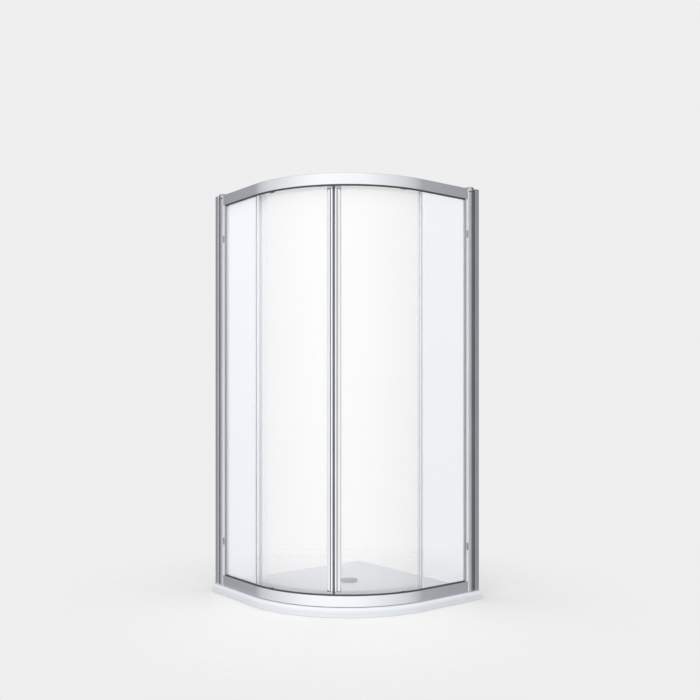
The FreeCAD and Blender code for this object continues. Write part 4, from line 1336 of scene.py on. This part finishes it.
    def lock_screws(self) -> None:
        """The screws on the shower side that lock the post in its channel."""
        piece = joined("left_lock_screws", [self.lock_screw(v) for v in self.screws])
        enter_pair(piece, self.palette.screw, "frame", "steel_fixings", "post_screws")

    def build(self) -> None:
        """Stands the wall side up piece by piece."""
        self.channel_piece()
        self.post_piece()
        self.cap_piece()
        self.rail_ends()
        self.lock_screws()


@dataclass
class Glazing:
    """The fixed panes with their beads, gaskets, clips and edge seals."""

    palette: Palette
    outer: float = 0.007
    thickness: float = 0.006
    edge_v: float = 0.009
    start: float = 0.0702
    end: float = 0.348
    bead: tuple[float, float] = (0.0653, 0.0757)
    bead_front: float = 0.0012
    bead_nose: float = 0.0042
    bead_back: float = 0.0036
    bead_rounds: tuple[float, float] = (0.0006, 0.0008)
    bead_v: float = 0.0483
    gap: float = 0.00035
    gasket_end: float = 0.0857
    gasket_gap: float = 0.00002
    gasket_shoulder: float = 0.004
    gasket: tuple[float, float, float] = (0.0026, 0.0019, 0.0004)
    seal_v: float = 0.057
    seal_wall: float = 0.0013
    seal_gap: float = 0.00005
    seal_reach: tuple[float, float] = (0.012, 0.002)
    seal_round: float = 0.0005
    fin_tip: float = 0.0011
    fin_root: float = 0.0017
    fin: float = 0.010
    clip_v: float = 0.208
    clip: tuple[float, float, float] = (0.0076, 0.034, 0.0016)

    def pane(self) -> None:
        """The flat pane with its ground edges."""
        outline = oblong(self.start, self.outer, self.end, self.outer + self.thickness)
        piece = upright_bar("left_flat_pane", outline, self.edge_v, ease=0.0005)
        twin = enter_pair(piece, self.palette.flat_glass, "frame", "clear_glass",
                          "left_fixed_glass")
        mark_faces(piece, self.palette.glass_edge, lambda _, normal: abs(normal.y) < EDGEWISE)
        mark_faces(twin, self.palette.glass_edge, lambda _, normal: abs(normal.x) < EDGEWISE)

    def bead_piece(self) -> None:
        """The bright bead that holds the pane beside the post."""
        first, last = self.bead
        slot, gap = self.start - self.gap, self.gap
        back = self.outer + self.thickness
        face, rear = self.bead_rounds
        outline = [(first, self.bead_front, face), (last, self.bead_nose, face),
                   (last, self.outer - gap), (slot, self.outer - gap), (slot, back + gap),
                   (last, back + gap), (last, back + self.bead_back, rear),
                   (first, back + self.bead_back, rear)]
        piece = upright_bar("left_bead_strip", outline, self.bead_v, ease=0.0002)
        enter_pair(piece, self.palette.bead, "frame", "polished_post", "left_glazing_bead")

    def gaskets(self) -> None:
        """The soft strips on both faces of the pane."""
        first, last = self.bead[1] + self.gasket_gap, self.gasket_end
        front, back = self.outer, self.outer + self.thickness
        root, shoulder, tip = self.gasket
        knee = last - self.gasket_shoulder
        room = [(first, front - root, 0.0005), (knee, front - shoulder, 0.001),
                (last, front - tip, 0.0002), (last, front), (first, front)]
        shower = [(first, back), (last, back), (last, back + tip, 0.0002),
                  (knee, back + shoulder, 0.001), (first, back + root, 0.0005)]
        piece = upright_bar("left_room_gasket", room, self.bead_v)
        enter_pair(piece, self.palette.gasket, "frame", "grey_seal", "left_glazing_gasket")
        piece = upright_bar("left_shower_gasket", shower, self.bead_v)
        enter_pair(piece, self.palette.clear_strip, "frame", "grey_seal", "left_glazing_gasket")

    def clips(self) -> None:
        """The long rounded covers over the bead's fixings."""
        width, length, thick = self.clip
        first, last = self.bead
        slope = math.atan2(self.bead_nose - self.bead_front, last - first)
        middle = (first + last) / 2
        seat = (self.bead_front + self.bead_nose) / 2
        half_w, half_l, end = width / 2, length / 2, width * 0.49
        outline = oblong(-half_w, -half_l, half_w, half_l, end)
        made = []
        for z in (SET.low(self.clip_v), SET.high(self.clip_v)):
            cover = bar("clip_cover", outline, lambda a, b: Vector((a, 0.0, b)),
                        Vector((0.0, -thick, 0.0)))
            ease_edges(cover, 0.0007, segments=3)
            turn = Matrix.Rotation(slope, 4, "Z")
            settle(cover, Matrix.Translation((middle - SET.half, SET.face_y + seat, z)) @ turn)
            made.append(cover)
        piece = joined("left_clip_covers", made)
        enter_pair(piece, self.palette.clip, "frame", "grey_plastic", "glazing_clips")

    def edge_seal(self) -> None:
        """The clear strip on the pane's free edge, with its fin."""
        gap, wall, soft = self.seal_gap, self.seal_wall, self.seal_round
        front, back = self.outer - gap, self.outer + self.thickness + gap
        first, last = self.end - self.seal_reach[0], self.end + self.seal_reach[1]
        outline = [(first, front), (first, front - wall, soft), (last, front - wall, soft),
                   (last, back + self.fin), (last - self.fin_tip, back + self.fin),
                   (last - self.fin_root, back + wall), (first, back + wall, soft),
                   (first, back), (self.end + gap, back), (self.end + gap, front)]
        piece = upright_bar("left_edge_strip", outline, self.seal_v)
        enter_pair(piece, self.palette.clear_strip, "frame", "clear_seal", "left_fixed_edge_seal")

    def build(self) -> None:
        """Builds the fixed side of the glazing."""
        self.pane()
        self.bead_piece()
        self.gaskets()
        self.clips()
        self.edge_seal()
        dress_node("inner_glass_seals", self.palette.clear_strip)


@dataclass
class SlidingDoor:
    """A curved pane with its meeting stile, magnetic strip and trailing strip."""

    palette: Palette
    outer: float = SET.door_depth
    thickness: float = SET.glass
    edge_v: float = 0.029
    end_short: float = 0.0138
    hole: float = 0.005
    hole_v: float = 0.038
    hole_overrun: float = 0.003
    hole_facets: int = 28
    stile_v: float = 0.036
    strip_v: float = 0.046
    cap_length: float = 0.022
    stile_width: float = 0.025
    magnet: float = 0.0043
    magnet_gap: float = 0.00015
    magnet_overlap: float = 0.00002
    magnet_half: float = 0.0074
    magnet_round: float = 0.0008
    magnet_root: tuple[float, float] = (0.0019, 0.0034)
    pocket: tuple[float, float] = (0.0021, 0.0036)
    chamfer: float = 0.002
    chamfer_round: float = 0.0012
    glass_slot: float = 0.009
    glass_gap: float = 0.00035
    land: float = 0.008
    groove: float = 0.0036
    groove_start: float = 0.0008
    proud: float = 0.009
    back: float = 0.006
    trail_gap: float = 0.0002
    trail_wall: float = 0.0013
    trail_reach: float = 0.012
    trail_end: float = -0.0016
    trail_seat: float = -0.0001
    trail_fin: float = 0.0115
    trail_lean: float = 0.00012
    steps: int = 56

    def fall(self, t: float) -> float:
        """How far the arc falls inwards at a distance t along its tangent."""
        return SET.door_radius - math.sqrt(SET.door_radius ** 2 - t * t)

    def pane(self) -> None:
        """Sweeps the pane from its trailing edge into the stile."""
        z0, z1 = SET.low(self.edge_v), SET.high(self.edge_v)
        front, back = self.outer, self.outer + self.thickness
        piece = draw_section("left_curved_pane", oblong(front, z0, back, z1),
                             SET.across(SET.arc_centre.x, lambda z: z))
        bpy.ops.mesh.delete(type="ONLY_FACE")
        select_mesh()
        last = MEETING - math.degrees(self.end_short / SET.door_radius)
        sweep(last - SET.trailing_edge, self.steps)
        close_up()
        settle(piece, at_station(SET.trailing_edge))
        for level in Level:
            for degrees in SET.stations.values():
                cut_away(piece, self.hole_cutter(at_station(degrees) @ at_level(level)))
        ease_edges(piece, 0.0005)
        twin = enter_pair(piece, self.palette.curved_glass, "left_door", "clear_glass",
                          "left_door_glass")
        for pane in (piece, twin):
            mark_faces(pane, self.palette.glass_edge, self.on_ground_edge)

    def hole_cutter(self, matrix: Matrix) -> bpy.types.Object:
        """A round bar through the pane where a bracket is clamped."""
        near = self.outer - self.hole_overrun
        far = self.outer + self.thickness + self.hole_overrun
        cutter = turned("clamp_hole", rod(near, far, self.hole), SET.radial(self.hole_v), INWARD,
                        self.hole_facets)
        settle(cutter, matrix)
        return cutter

    def on_ground_edge(self, at: Vector, normal: Vector) -> bool:
        """True for faces of the pane that don't look along the arc's radius."""
        out = (at - SET.arc_centre).to_2d().normalized()
        return abs(out.dot(normal.to_2d())) < EDGEWISE

    def stile_section(self) -> Outline:
        """Section of the meeting stile in (t, u): land, cove, grip swell and glass slot."""
        near = -(self.magnet_gap + self.magnet)
        far = near - self.stile_width
        front, back = self.outer - self.proud, self.outer + self.thickness + self.back
        inner = self.outer + self.thickness
        slot, clear = near - self.glass_slot, self.glass_gap
        land = near - self.land
        middle = (self.outer + inner) / 2
        face, rear = self.outer + self.fall(far) - clear, inner + self.fall(far) + clear
        chamfer, soft = self.chamfer, self.chamfer_round
        deep, reach = self.pocket
        return [
            (near, front + chamfer, soft), (near - chamfer, front, soft), (land, front, 0.0006),
            (land - 0.0014, front + 0.0042, 0.0004), (land - self.groove, front + 0.0012, 0.0010),
            (far + 0.0008, front + 0.0066, 0.0010), (far, face - 0.0009, 0.0004), (far, face),
            (slot, self.outer + self.fall(slot) - clear), (slot, inner + self.fall(slot) + clear),
            (far, rear), (far, rear + 0.0016, 0.0006), (far + 0.006, back, 0.0025),
            (near - chamfer, back, soft), (near, back - chamfer, soft), (near, middle + reach),
            (near - deep, middle + reach), (near - deep, middle - reach), (near, middle - reach),
        ]

    def stile(self) -> None:
        """The drawn stile and the moulded caps at its ends."""
        z0 = SET.low(self.stile_v + self.cap_length)
        z1 = SET.high(self.stile_v + self.cap_length)
        section = self.stile_section()
        piece = bar("left_meeting_stile", section, SET.at_arc_start(z0), rise(z1 - z0))
        settle(piece, at_station(MEETING))
        twin = enter_pair(piece, self.palette.stile, "left_door", "polished_stile",
                          "left_door_stile")
        # Painted shade: the grip groove's faces get the dark metal, where shade falls in the
        # groove.
        mark_faces(piece, self.palette.tongue, lambda at, _: self.in_groove(at))
        mark_faces(twin, self.palette.tongue, lambda at, _: self.in_groove(MIRROR @ at))
        caps = []
        for base in (SET.low(self.stile_v), z1):
            cap = bar("stile_end", section, SET.at_arc_start(base),
                      rise(self.cap_length), FINE_EASE)
            settle(cap, at_station(MEETING))
            caps.append(cap)
        ends = joined("left_stile_ends", caps)
        enter_pair(ends, self.palette.stile_end, "left_door", "grey_plastic", "left_stile_caps")

    def in_groove(self, at: Vector) -> bool:
        """True for places in the grip groove beside the left stile's land."""
        drawn = at_station(-MEETING) @ at
        inside = SET.arc_centre.x - self.magnet_gap - self.magnet - self.land - drawn.x
        below = SET.face_y + self.outer - self.proud + self.groove_start
        return 0.0 < inside < self.groove and drawn.y > below

    def magnet_strip(self) -> None:
        """The magnetic strip that meets the other door's."""
        near = -self.magnet_gap
        far = self.magnet_overlap - self.magnet_gap - self.magnet
        middle = self.outer + self.thickness / 2
        half, soft = self.magnet_half, self.magnet_round
        deep, root = self.magnet_root
        outline = [(near, middle - half, soft), (near, middle + half, soft),
                   (far, middle + half), (far, middle + root), (far - deep, middle + root),
                   (far - deep, middle - root), (far, middle - root), (far, middle - half)]
        self.door_strip("left_magnet_strip", outline, MEETING, self.stile_v,
                        self.palette.magnet_strip, "grey_seal", "left_magnetic_seal")

    def trailing_strip(self) -> None:
        """The clear strip on the pane's trailing edge, with its fin."""
        gap, wall, reach, end = self.trail_gap, self.trail_wall, self.trail_reach, self.trail_end
        front, back = self.outer - gap, self.outer + self.thickness + gap
        fin = self.outer - self.trail_fin - wall
        seat, lean = self.trail_seat, self.trail_lean
        outline = [(end, fin), (end + 0.0011, fin), (end + 0.0015, front - wall),
                   (reach, front - wall, 0.0005), (reach, front + lean), (seat, front),
                   (seat, back), (reach, back + lean), (reach, back + wall + lean, 0.0005),
                   (end, back + wall, 0.0006)]
        self.door_strip("left_trailing_strip", outline, SET.trailing_edge, self.strip_v,
                        self.palette.clear_strip, "clear_seal", "left_trailing_seal")

    def door_strip(self, name: str, outline: Outline, degrees: float, v: float,
                   material: bpy.types.Material, slot: str, node: str) -> None:
        """Stands one strip on the door.

        Args:
            name: The strip's name on the left.
            outline: Its section in (t, u).
            degrees: Its station along the arc.
            v: How far it stands short of the tray and of the top rail's back.
            material: Its finish.
            slot: The record's material slot.
            node: The CAD node that it stands for.
        """
        z0 = SET.low(v)
        up = rise(SET.high(v) - z0)
        piece = bar(name, outline, SET.at_arc_start(z0), up)
        settle(piece, at_station(degrees))
        enter_pair(piece, material, "left_door", slot, node)

    def build(self) -> None:
        """Builds the left door and mirrors each piece of it."""
        self.pane()
        self.stile()
        self.magnet_strip()
        self.trailing_strip()


@dataclass
class Rollers:
    """The roller brackets, axles, wheels and glass clamps at both ends of each door."""

    palette: Palette
    wheel_radius: float = 0.008
    wheel_u: float = 0.0253
    wheel_width: float = 0.004
    axle_v: float = 0.0167
    axle_radius: float = 0.003
    plate_u: float = 0.042
    plate_thickness: float = 0.0025
    plate_half: float = 0.018
    neck_half: float = 0.007
    clamp_v: float = 0.038
    glass: tuple[float, float] = (0.035, 0.041)
    glass_gap: float = 0.00025
    plate_end: float = 0.046
    shoulder: float = 0.0315
    shoulder_drop: float = 0.005
    hub_radius: float = 0.005
    hub_sink: float = 0.0013
    bore_gap: float = 0.00005
    tread: tuple[float, float] = (0.0006, 0.0002)
    disc: float = 0.009
    bolt_radius: float = 0.004
    washer_bore: float = 0.0041
    nut: float = 0.007
    nut_height: float = 0.0045
    pin_facets: int = 28
    wheel_facets: int = 40
    disc_facets: int = 36

    def bracket(self) -> bpy.types.Object:
        """The pressed plate: wide where it clamps the glass, a rounded neck at the axle."""
        half, neck, end = self.plate_half, self.neck_half, self.plate_end
        foot, shoulder = self.axle_v - neck, self.shoulder
        waist, tip = shoulder - self.shoulder_drop, neck * 0.98
        outline = [(-half, end, 0.003), (half, end, 0.003), (half, shoulder, 0.0025),
                   (neck, waist, 0.002), (neck, foot, tip), (-neck, foot, tip),
                   (-neck, waist, 0.002), (-half, shoulder, 0.0025)]
        return bar("bracket_pattern", outline, SET.along(self.plate_u, 0.0),
                   Vector((0.0, self.plate_thickness, 0.0)), ease=0.0004)

    def axle(self) -> bpy.types.Object:
        """The shouldered axle, riveted in the plate."""
        out, back = self.wheel_u - self.wheel_width / 2, self.wheel_u + self.wheel_width / 2
        radius, hub, plate = self.axle_radius, self.hub_radius, self.plate_u
        far = plate + self.plate_thickness
        profile = [(out + 0.0002, 0.0), (out + 0.0002, radius + 0.0004),
                   (out + 0.0004, radius + 0.0006), (out + 0.001, radius + 0.0006),
                   (out + 0.001, radius), (back + 0.0003, radius), (back + 0.0003, hub - 0.0002),
                   (back + 0.0006, hub), (plate - 0.0004, hub), (plate - 0.0001, hub - 0.0002),
                   (plate - 0.0001, radius), (far, radius), (far, radius + 0.0015),
                   (far + 0.0011, radius + 0.0012), (far + 0.0015, radius + 0.0006),
                   (far + 0.0015, 0.0)]
        return turned("axle_pattern", profile, SET.radial(self.axle_v), INWARD, self.pin_facets)

    def wheel(self) -> bpy.types.Object:
        """The nylon wheel, with a rounded tread and a sunk hub."""
        out, back = self.wheel_u - self.wheel_width / 2, self.wheel_u + self.wheel_width / 2
        bore, rim = self.axle_radius + self.bore_gap, self.wheel_radius
        sink, (soft, near) = self.hub_sink, self.tread
        profile = [(out + sink, bore), (out + sink, bore + sink), (out, bore + 0.0015),
                   (out, rim - soft), (out + near, rim - near), (out + soft, rim),
                   (back - soft, rim), (back - near, rim - near), (back, rim - soft), (back, bore)]
        return turned("wheel_pattern", profile, SET.radial(self.axle_v), INWARD, self.wheel_facets)

    def bolt(self) -> bpy.types.Object:
        """The clamp bolt with its low head, and its nut."""
        head, disc, radius = self.glass[0] - self.glass_gap, self.disc, self.bolt_radius
        seat = self.plate_u + self.plate_thickness
        profile = [(head - 0.003, 0.0), (head - 0.003, 0.0072), (head - 0.0026, 0.0080),
                   (head - 0.0018, 0.0088), (head - 0.0010, disc), (head, disc), (head, radius),
                   (seat + 0.0050, radius), (seat + 0.0055, 0.0035), (seat + 0.0055, 0.0)]
        shank = turned("bolt_pattern", profile, SET.radial(self.clamp_v), INWARD,
                       self.disc_facets)
        angles = [math.radians(60 * turn) for turn in range(6)]
        flats = [(self.nut * math.cos(angle), self.nut * math.sin(angle)) for angle in angles]
        nut = bar("nut_pattern", flats, SET.along(seat, self.clamp_v),
                  Vector((0.0, self.nut_height, 0.0)), ease=0.0005)
        return joined("bolt_pattern", [shank, nut])

    def washer(self) -> bpy.types.Object:
        """The soft washer between the bracket and the glass."""
        profile = ring(self.glass[1] + self.glass_gap, self.plate_u, self.washer_bore, self.disc)
        return turned("washer_pattern", profile, SET.radial(self.clamp_v), INWARD,
                      self.disc_facets)

    def placed(self, pattern: bpy.types.Object, level: Level, degrees: float) -> bpy.types.Object:
        """A copy of a pattern at one level and station."""
        return copy_of(pattern, "placed", at_station(degrees) @ at_level(level))

    def build(self) -> None:
        """Models each pattern once and repeats it at every roller."""
        places = [(level, degrees) for level in Level for degrees in SET.stations.values()]
        bracket, axle, wheel = self.bracket(), self.axle(), self.wheel()
        bolt, washer = self.bolt(), self.washer()
        for level in Level:
            plates = [self.placed(bracket, level, degrees) for degrees in SET.stations.values()]
            piece = joined(f"left_{level.value}_brackets", plates)
            enter_pair(piece, self.palette.bracket, "left_door", "plated_bracket",
                       f"left_{level.value}_roller_plates")
            for end, degrees in SET.stations.items():
                node = f"left_{level.value}_{end}_wheel"
                roller = self.placed(wheel, level, degrees)
                roller.name = roller.data.name = f"left_{level.value}_{end}_roller"
                enter_pair(roller, self.palette.nylon, node, "white_nylon", node)
        screw, rubber = self.palette.screw, self.palette.dark_rubber
        for pattern, name, material, slot, node in (
                (axle, "left_axle_pins", screw, "steel_fixings", "left_roller_axles"),
                (bolt, "left_clamp_bolts", screw, "steel_fixings", "left_glass_clamps"),
                (washer, "left_clamp_washers", rubber, "grey_rubber", "left_glass_clamps")):
            copies = [self.placed(pattern, level, degrees) for level, degrees in places]
            enter_pair(joined(name, copies), material, "left_door", slot, node)
        for pattern in (bracket, axle, wheel, bolt, washer):
            bpy.data.objects.remove(pattern)


@dataclass
class HiddenFittings:
    """CAD nodes inside the rails and posts, whose shape is right and only take a finish."""

    palette: Palette

    def build(self) -> None:
        """Dresses each node."""
        dress_node("door_stops", self.palette.dark_rubber)
        dress_node("rail_screws", self.palette.screw)


@dataclass
class Studio:
    """Pale floor, soft light and a camera at the photograph's angle."""

    distance: float = 4.0494
    azimuth: float = 52.264
    turn: float = -0.3686
    height: float = 0.9536
    focal_px: float = 864.54
    frame_px: float = 700.0
    horizon_px: float = 391.82
    backdrop: float = 0.863
    bright_azimuth: float = 38.0
    room: tuple[tuple[float, float], ...] = (
        (0.0, 0.30), (0.12, 0.22), (0.24, 0.15), (0.41, 0.215), (0.55, 0.60), (0.80, 0.77),
        (1.0, 1.0))
    room_strength: float = 1.22
    dim_tint: Colour = (0.95, 1.0, 1.07)
    bright_tint: Colour = (0.995, 1.0, 1.025)
    floor_radius: float = 9.0
    floor_gap: float = 0.0005
    floor_colour: Colour = (0.825, 0.815, 0.80)
    floor_fade: Span = (0.58, 1.5)

    def build(self) -> None:
        """Sets up the floor, the lights and the camera."""
        self.floor()
        self.surroundings()
        self.softboxes()
        self.camera()

    def floor(self) -> None:
        """A pale floor that fades into the backdrop far from the object."""
        clear_selection()
        bpy.ops.mesh.primitive_circle_add(vertices=96, radius=self.floor_radius, fill_type="NGON",
                                          location=(0.0, 0.0, -self.floor_gap))
        floor = bpy.context.active_object
        floor.name = "floor"
        bpy.ops.object.transform_apply(location=True)
        shader = Shader("pale_floor")
        shader.set(Base_Color=(*self.floor_colour, 1.0), Roughness=0.8, Specular_IOR_Level=0.1)
        distance = shader.add("VectorMath", {0: shader.coordinates}, operation="LENGTH")
        near, far = self.floor_fade
        fade = shader.add("MapRange", {"From Min": near, "From Max": far,
                                       "Value": distance.outputs["Value"]},
                          interpolation_type="SMOOTHSTEP")
        shader.show(shader.mix(fade.outputs["Result"], shader.surface.outputs["BSDF"],
                               shader.clear(WHITE)))
        floor.visible_glossy = False
        dress(floor, shader.material)

    def surroundings(self) -> None:
        """A room that is brighter on the side the doors face, with a plain backdrop."""
        world = bpy.data.worlds.new("studio")
        bpy.context.scene.world = world
        world.use_nodes = True
        tree = world.node_tree
        tree.nodes.clear()
        aim = math.radians(self.bright_azimuth)
        towards = (math.sin(aim) / 2, -math.cos(aim) / 2, 0.0)
        where = add_node(tree, "TexCoord").outputs["Generated"]
        dot = add_node(tree, "VectorMath", {0: where, 1: towards}, operation="DOT_PRODUCT")
        facing = add_node(tree, "Math", {0: dot.outputs["Value"], 1: 0.5}, operation="ADD")
        ramp = add_node(tree, "ValToRGB", {"Fac": facing.outputs["Value"]})
        ramp.color_ramp.interpolation = "B_SPLINE"
        stops = ramp.color_ramp.elements
        for index, (place, level) in enumerate(self.room):
            stop = stops[index] if index < 2 else stops.new(place)
            stop.position = place
            tints = zip(self.dim_tint, self.bright_tint)
            stop.color = (*(level * (dim + (bright - dim) * level) for dim, bright in tints), 1.0)
        room = add_node(tree, "Background", {"Color": ramp.outputs["Color"],
                                             "Strength": self.room_strength})
        plain = add_node(tree, "Background", {"Color": (*[self.backdrop] * 3, 1.0)})
        seen = add_node(tree, "LightPath").outputs["Is Camera Ray"]
        mix = add_node(tree, "MixShader", {"Fac": seen, 1: room.outputs["Background"],
                                           2: plain.outputs["Background"]})
        add_node(tree, "OutputWorld", {"Surface": mix.outputs["Shader"]})

    def softboxes(self) -> None:
        """Large soft lights: one overhead and one beside the camera."""
        self.softbox("overhead", at=Vector((0.2, -0.2, 4.2)), aim=Vector((0.2, -0.2, 0.0)),
                     size=5.0, power=120.0)
        self.softbox("front", at=Vector((2.6, -2.5, 2.2)), aim=rise(0.9), size=2.2, power=15.0)

    def softbox(self, name: str, at: Vector, aim: Vector, size: float, power: float) -> None:
        """Adds one square area light that looks at a place."""
        light = bpy.data.lights.new(name, "AREA")
        light.shape = "SQUARE"
        light.size = size
        light.energy = power
        box = bpy.data.objects.new(name, light)
        bpy.context.collection.objects.link(box)
        box.location = at
        box.visible_glossy = False
        box.rotation_mode = "QUATERNION"
        box.rotation_quaternion = (aim - at).to_track_quat("-Z", "Y")

    def camera(self) -> None:
        """The photograph's viewpoint, level, with its frame shifted down to the object."""
        lens = bpy.data.cameras.new("photo_view")
        lens.sensor_width = 36.0
        lens.lens = self.focal_px / self.frame_px * lens.sensor_width
        lens.shift_y = (self.horizon_px - self.frame_px / 2) / self.frame_px
        camera = bpy.data.objects.new("photo_view", lens)
        bpy.context.collection.objects.link(camera)
        aim = math.radians(self.azimuth)
        away = self.distance
        camera.location = (away * math.sin(aim), -away * math.cos(aim), self.height)
        camera.rotation_euler = (math.pi / 2, 0.0, math.radians(self.azimuth + self.turn))
        bpy.context.scene.camera = camera
        bpy.context.scene.view_settings.view_transform = "Standard"


def main() -> None:
    """Builds the enclosure and its studio in order."""
    logging.basicConfig(level=logging.INFO, format="%(name)s: %(message)s")
    palette = Palette()
    Tray(palette).build()
    Waste(palette).build()
    for level in Level:
        BentRail(palette, level).build()
    WallPost(palette).build()
    Glazing(palette).build()
    SlidingDoor(palette).build()
    Rollers(palette).build()
    HiddenFittings(palette).build()
    Studio().build()


if __name__ == "__main__":
    main()
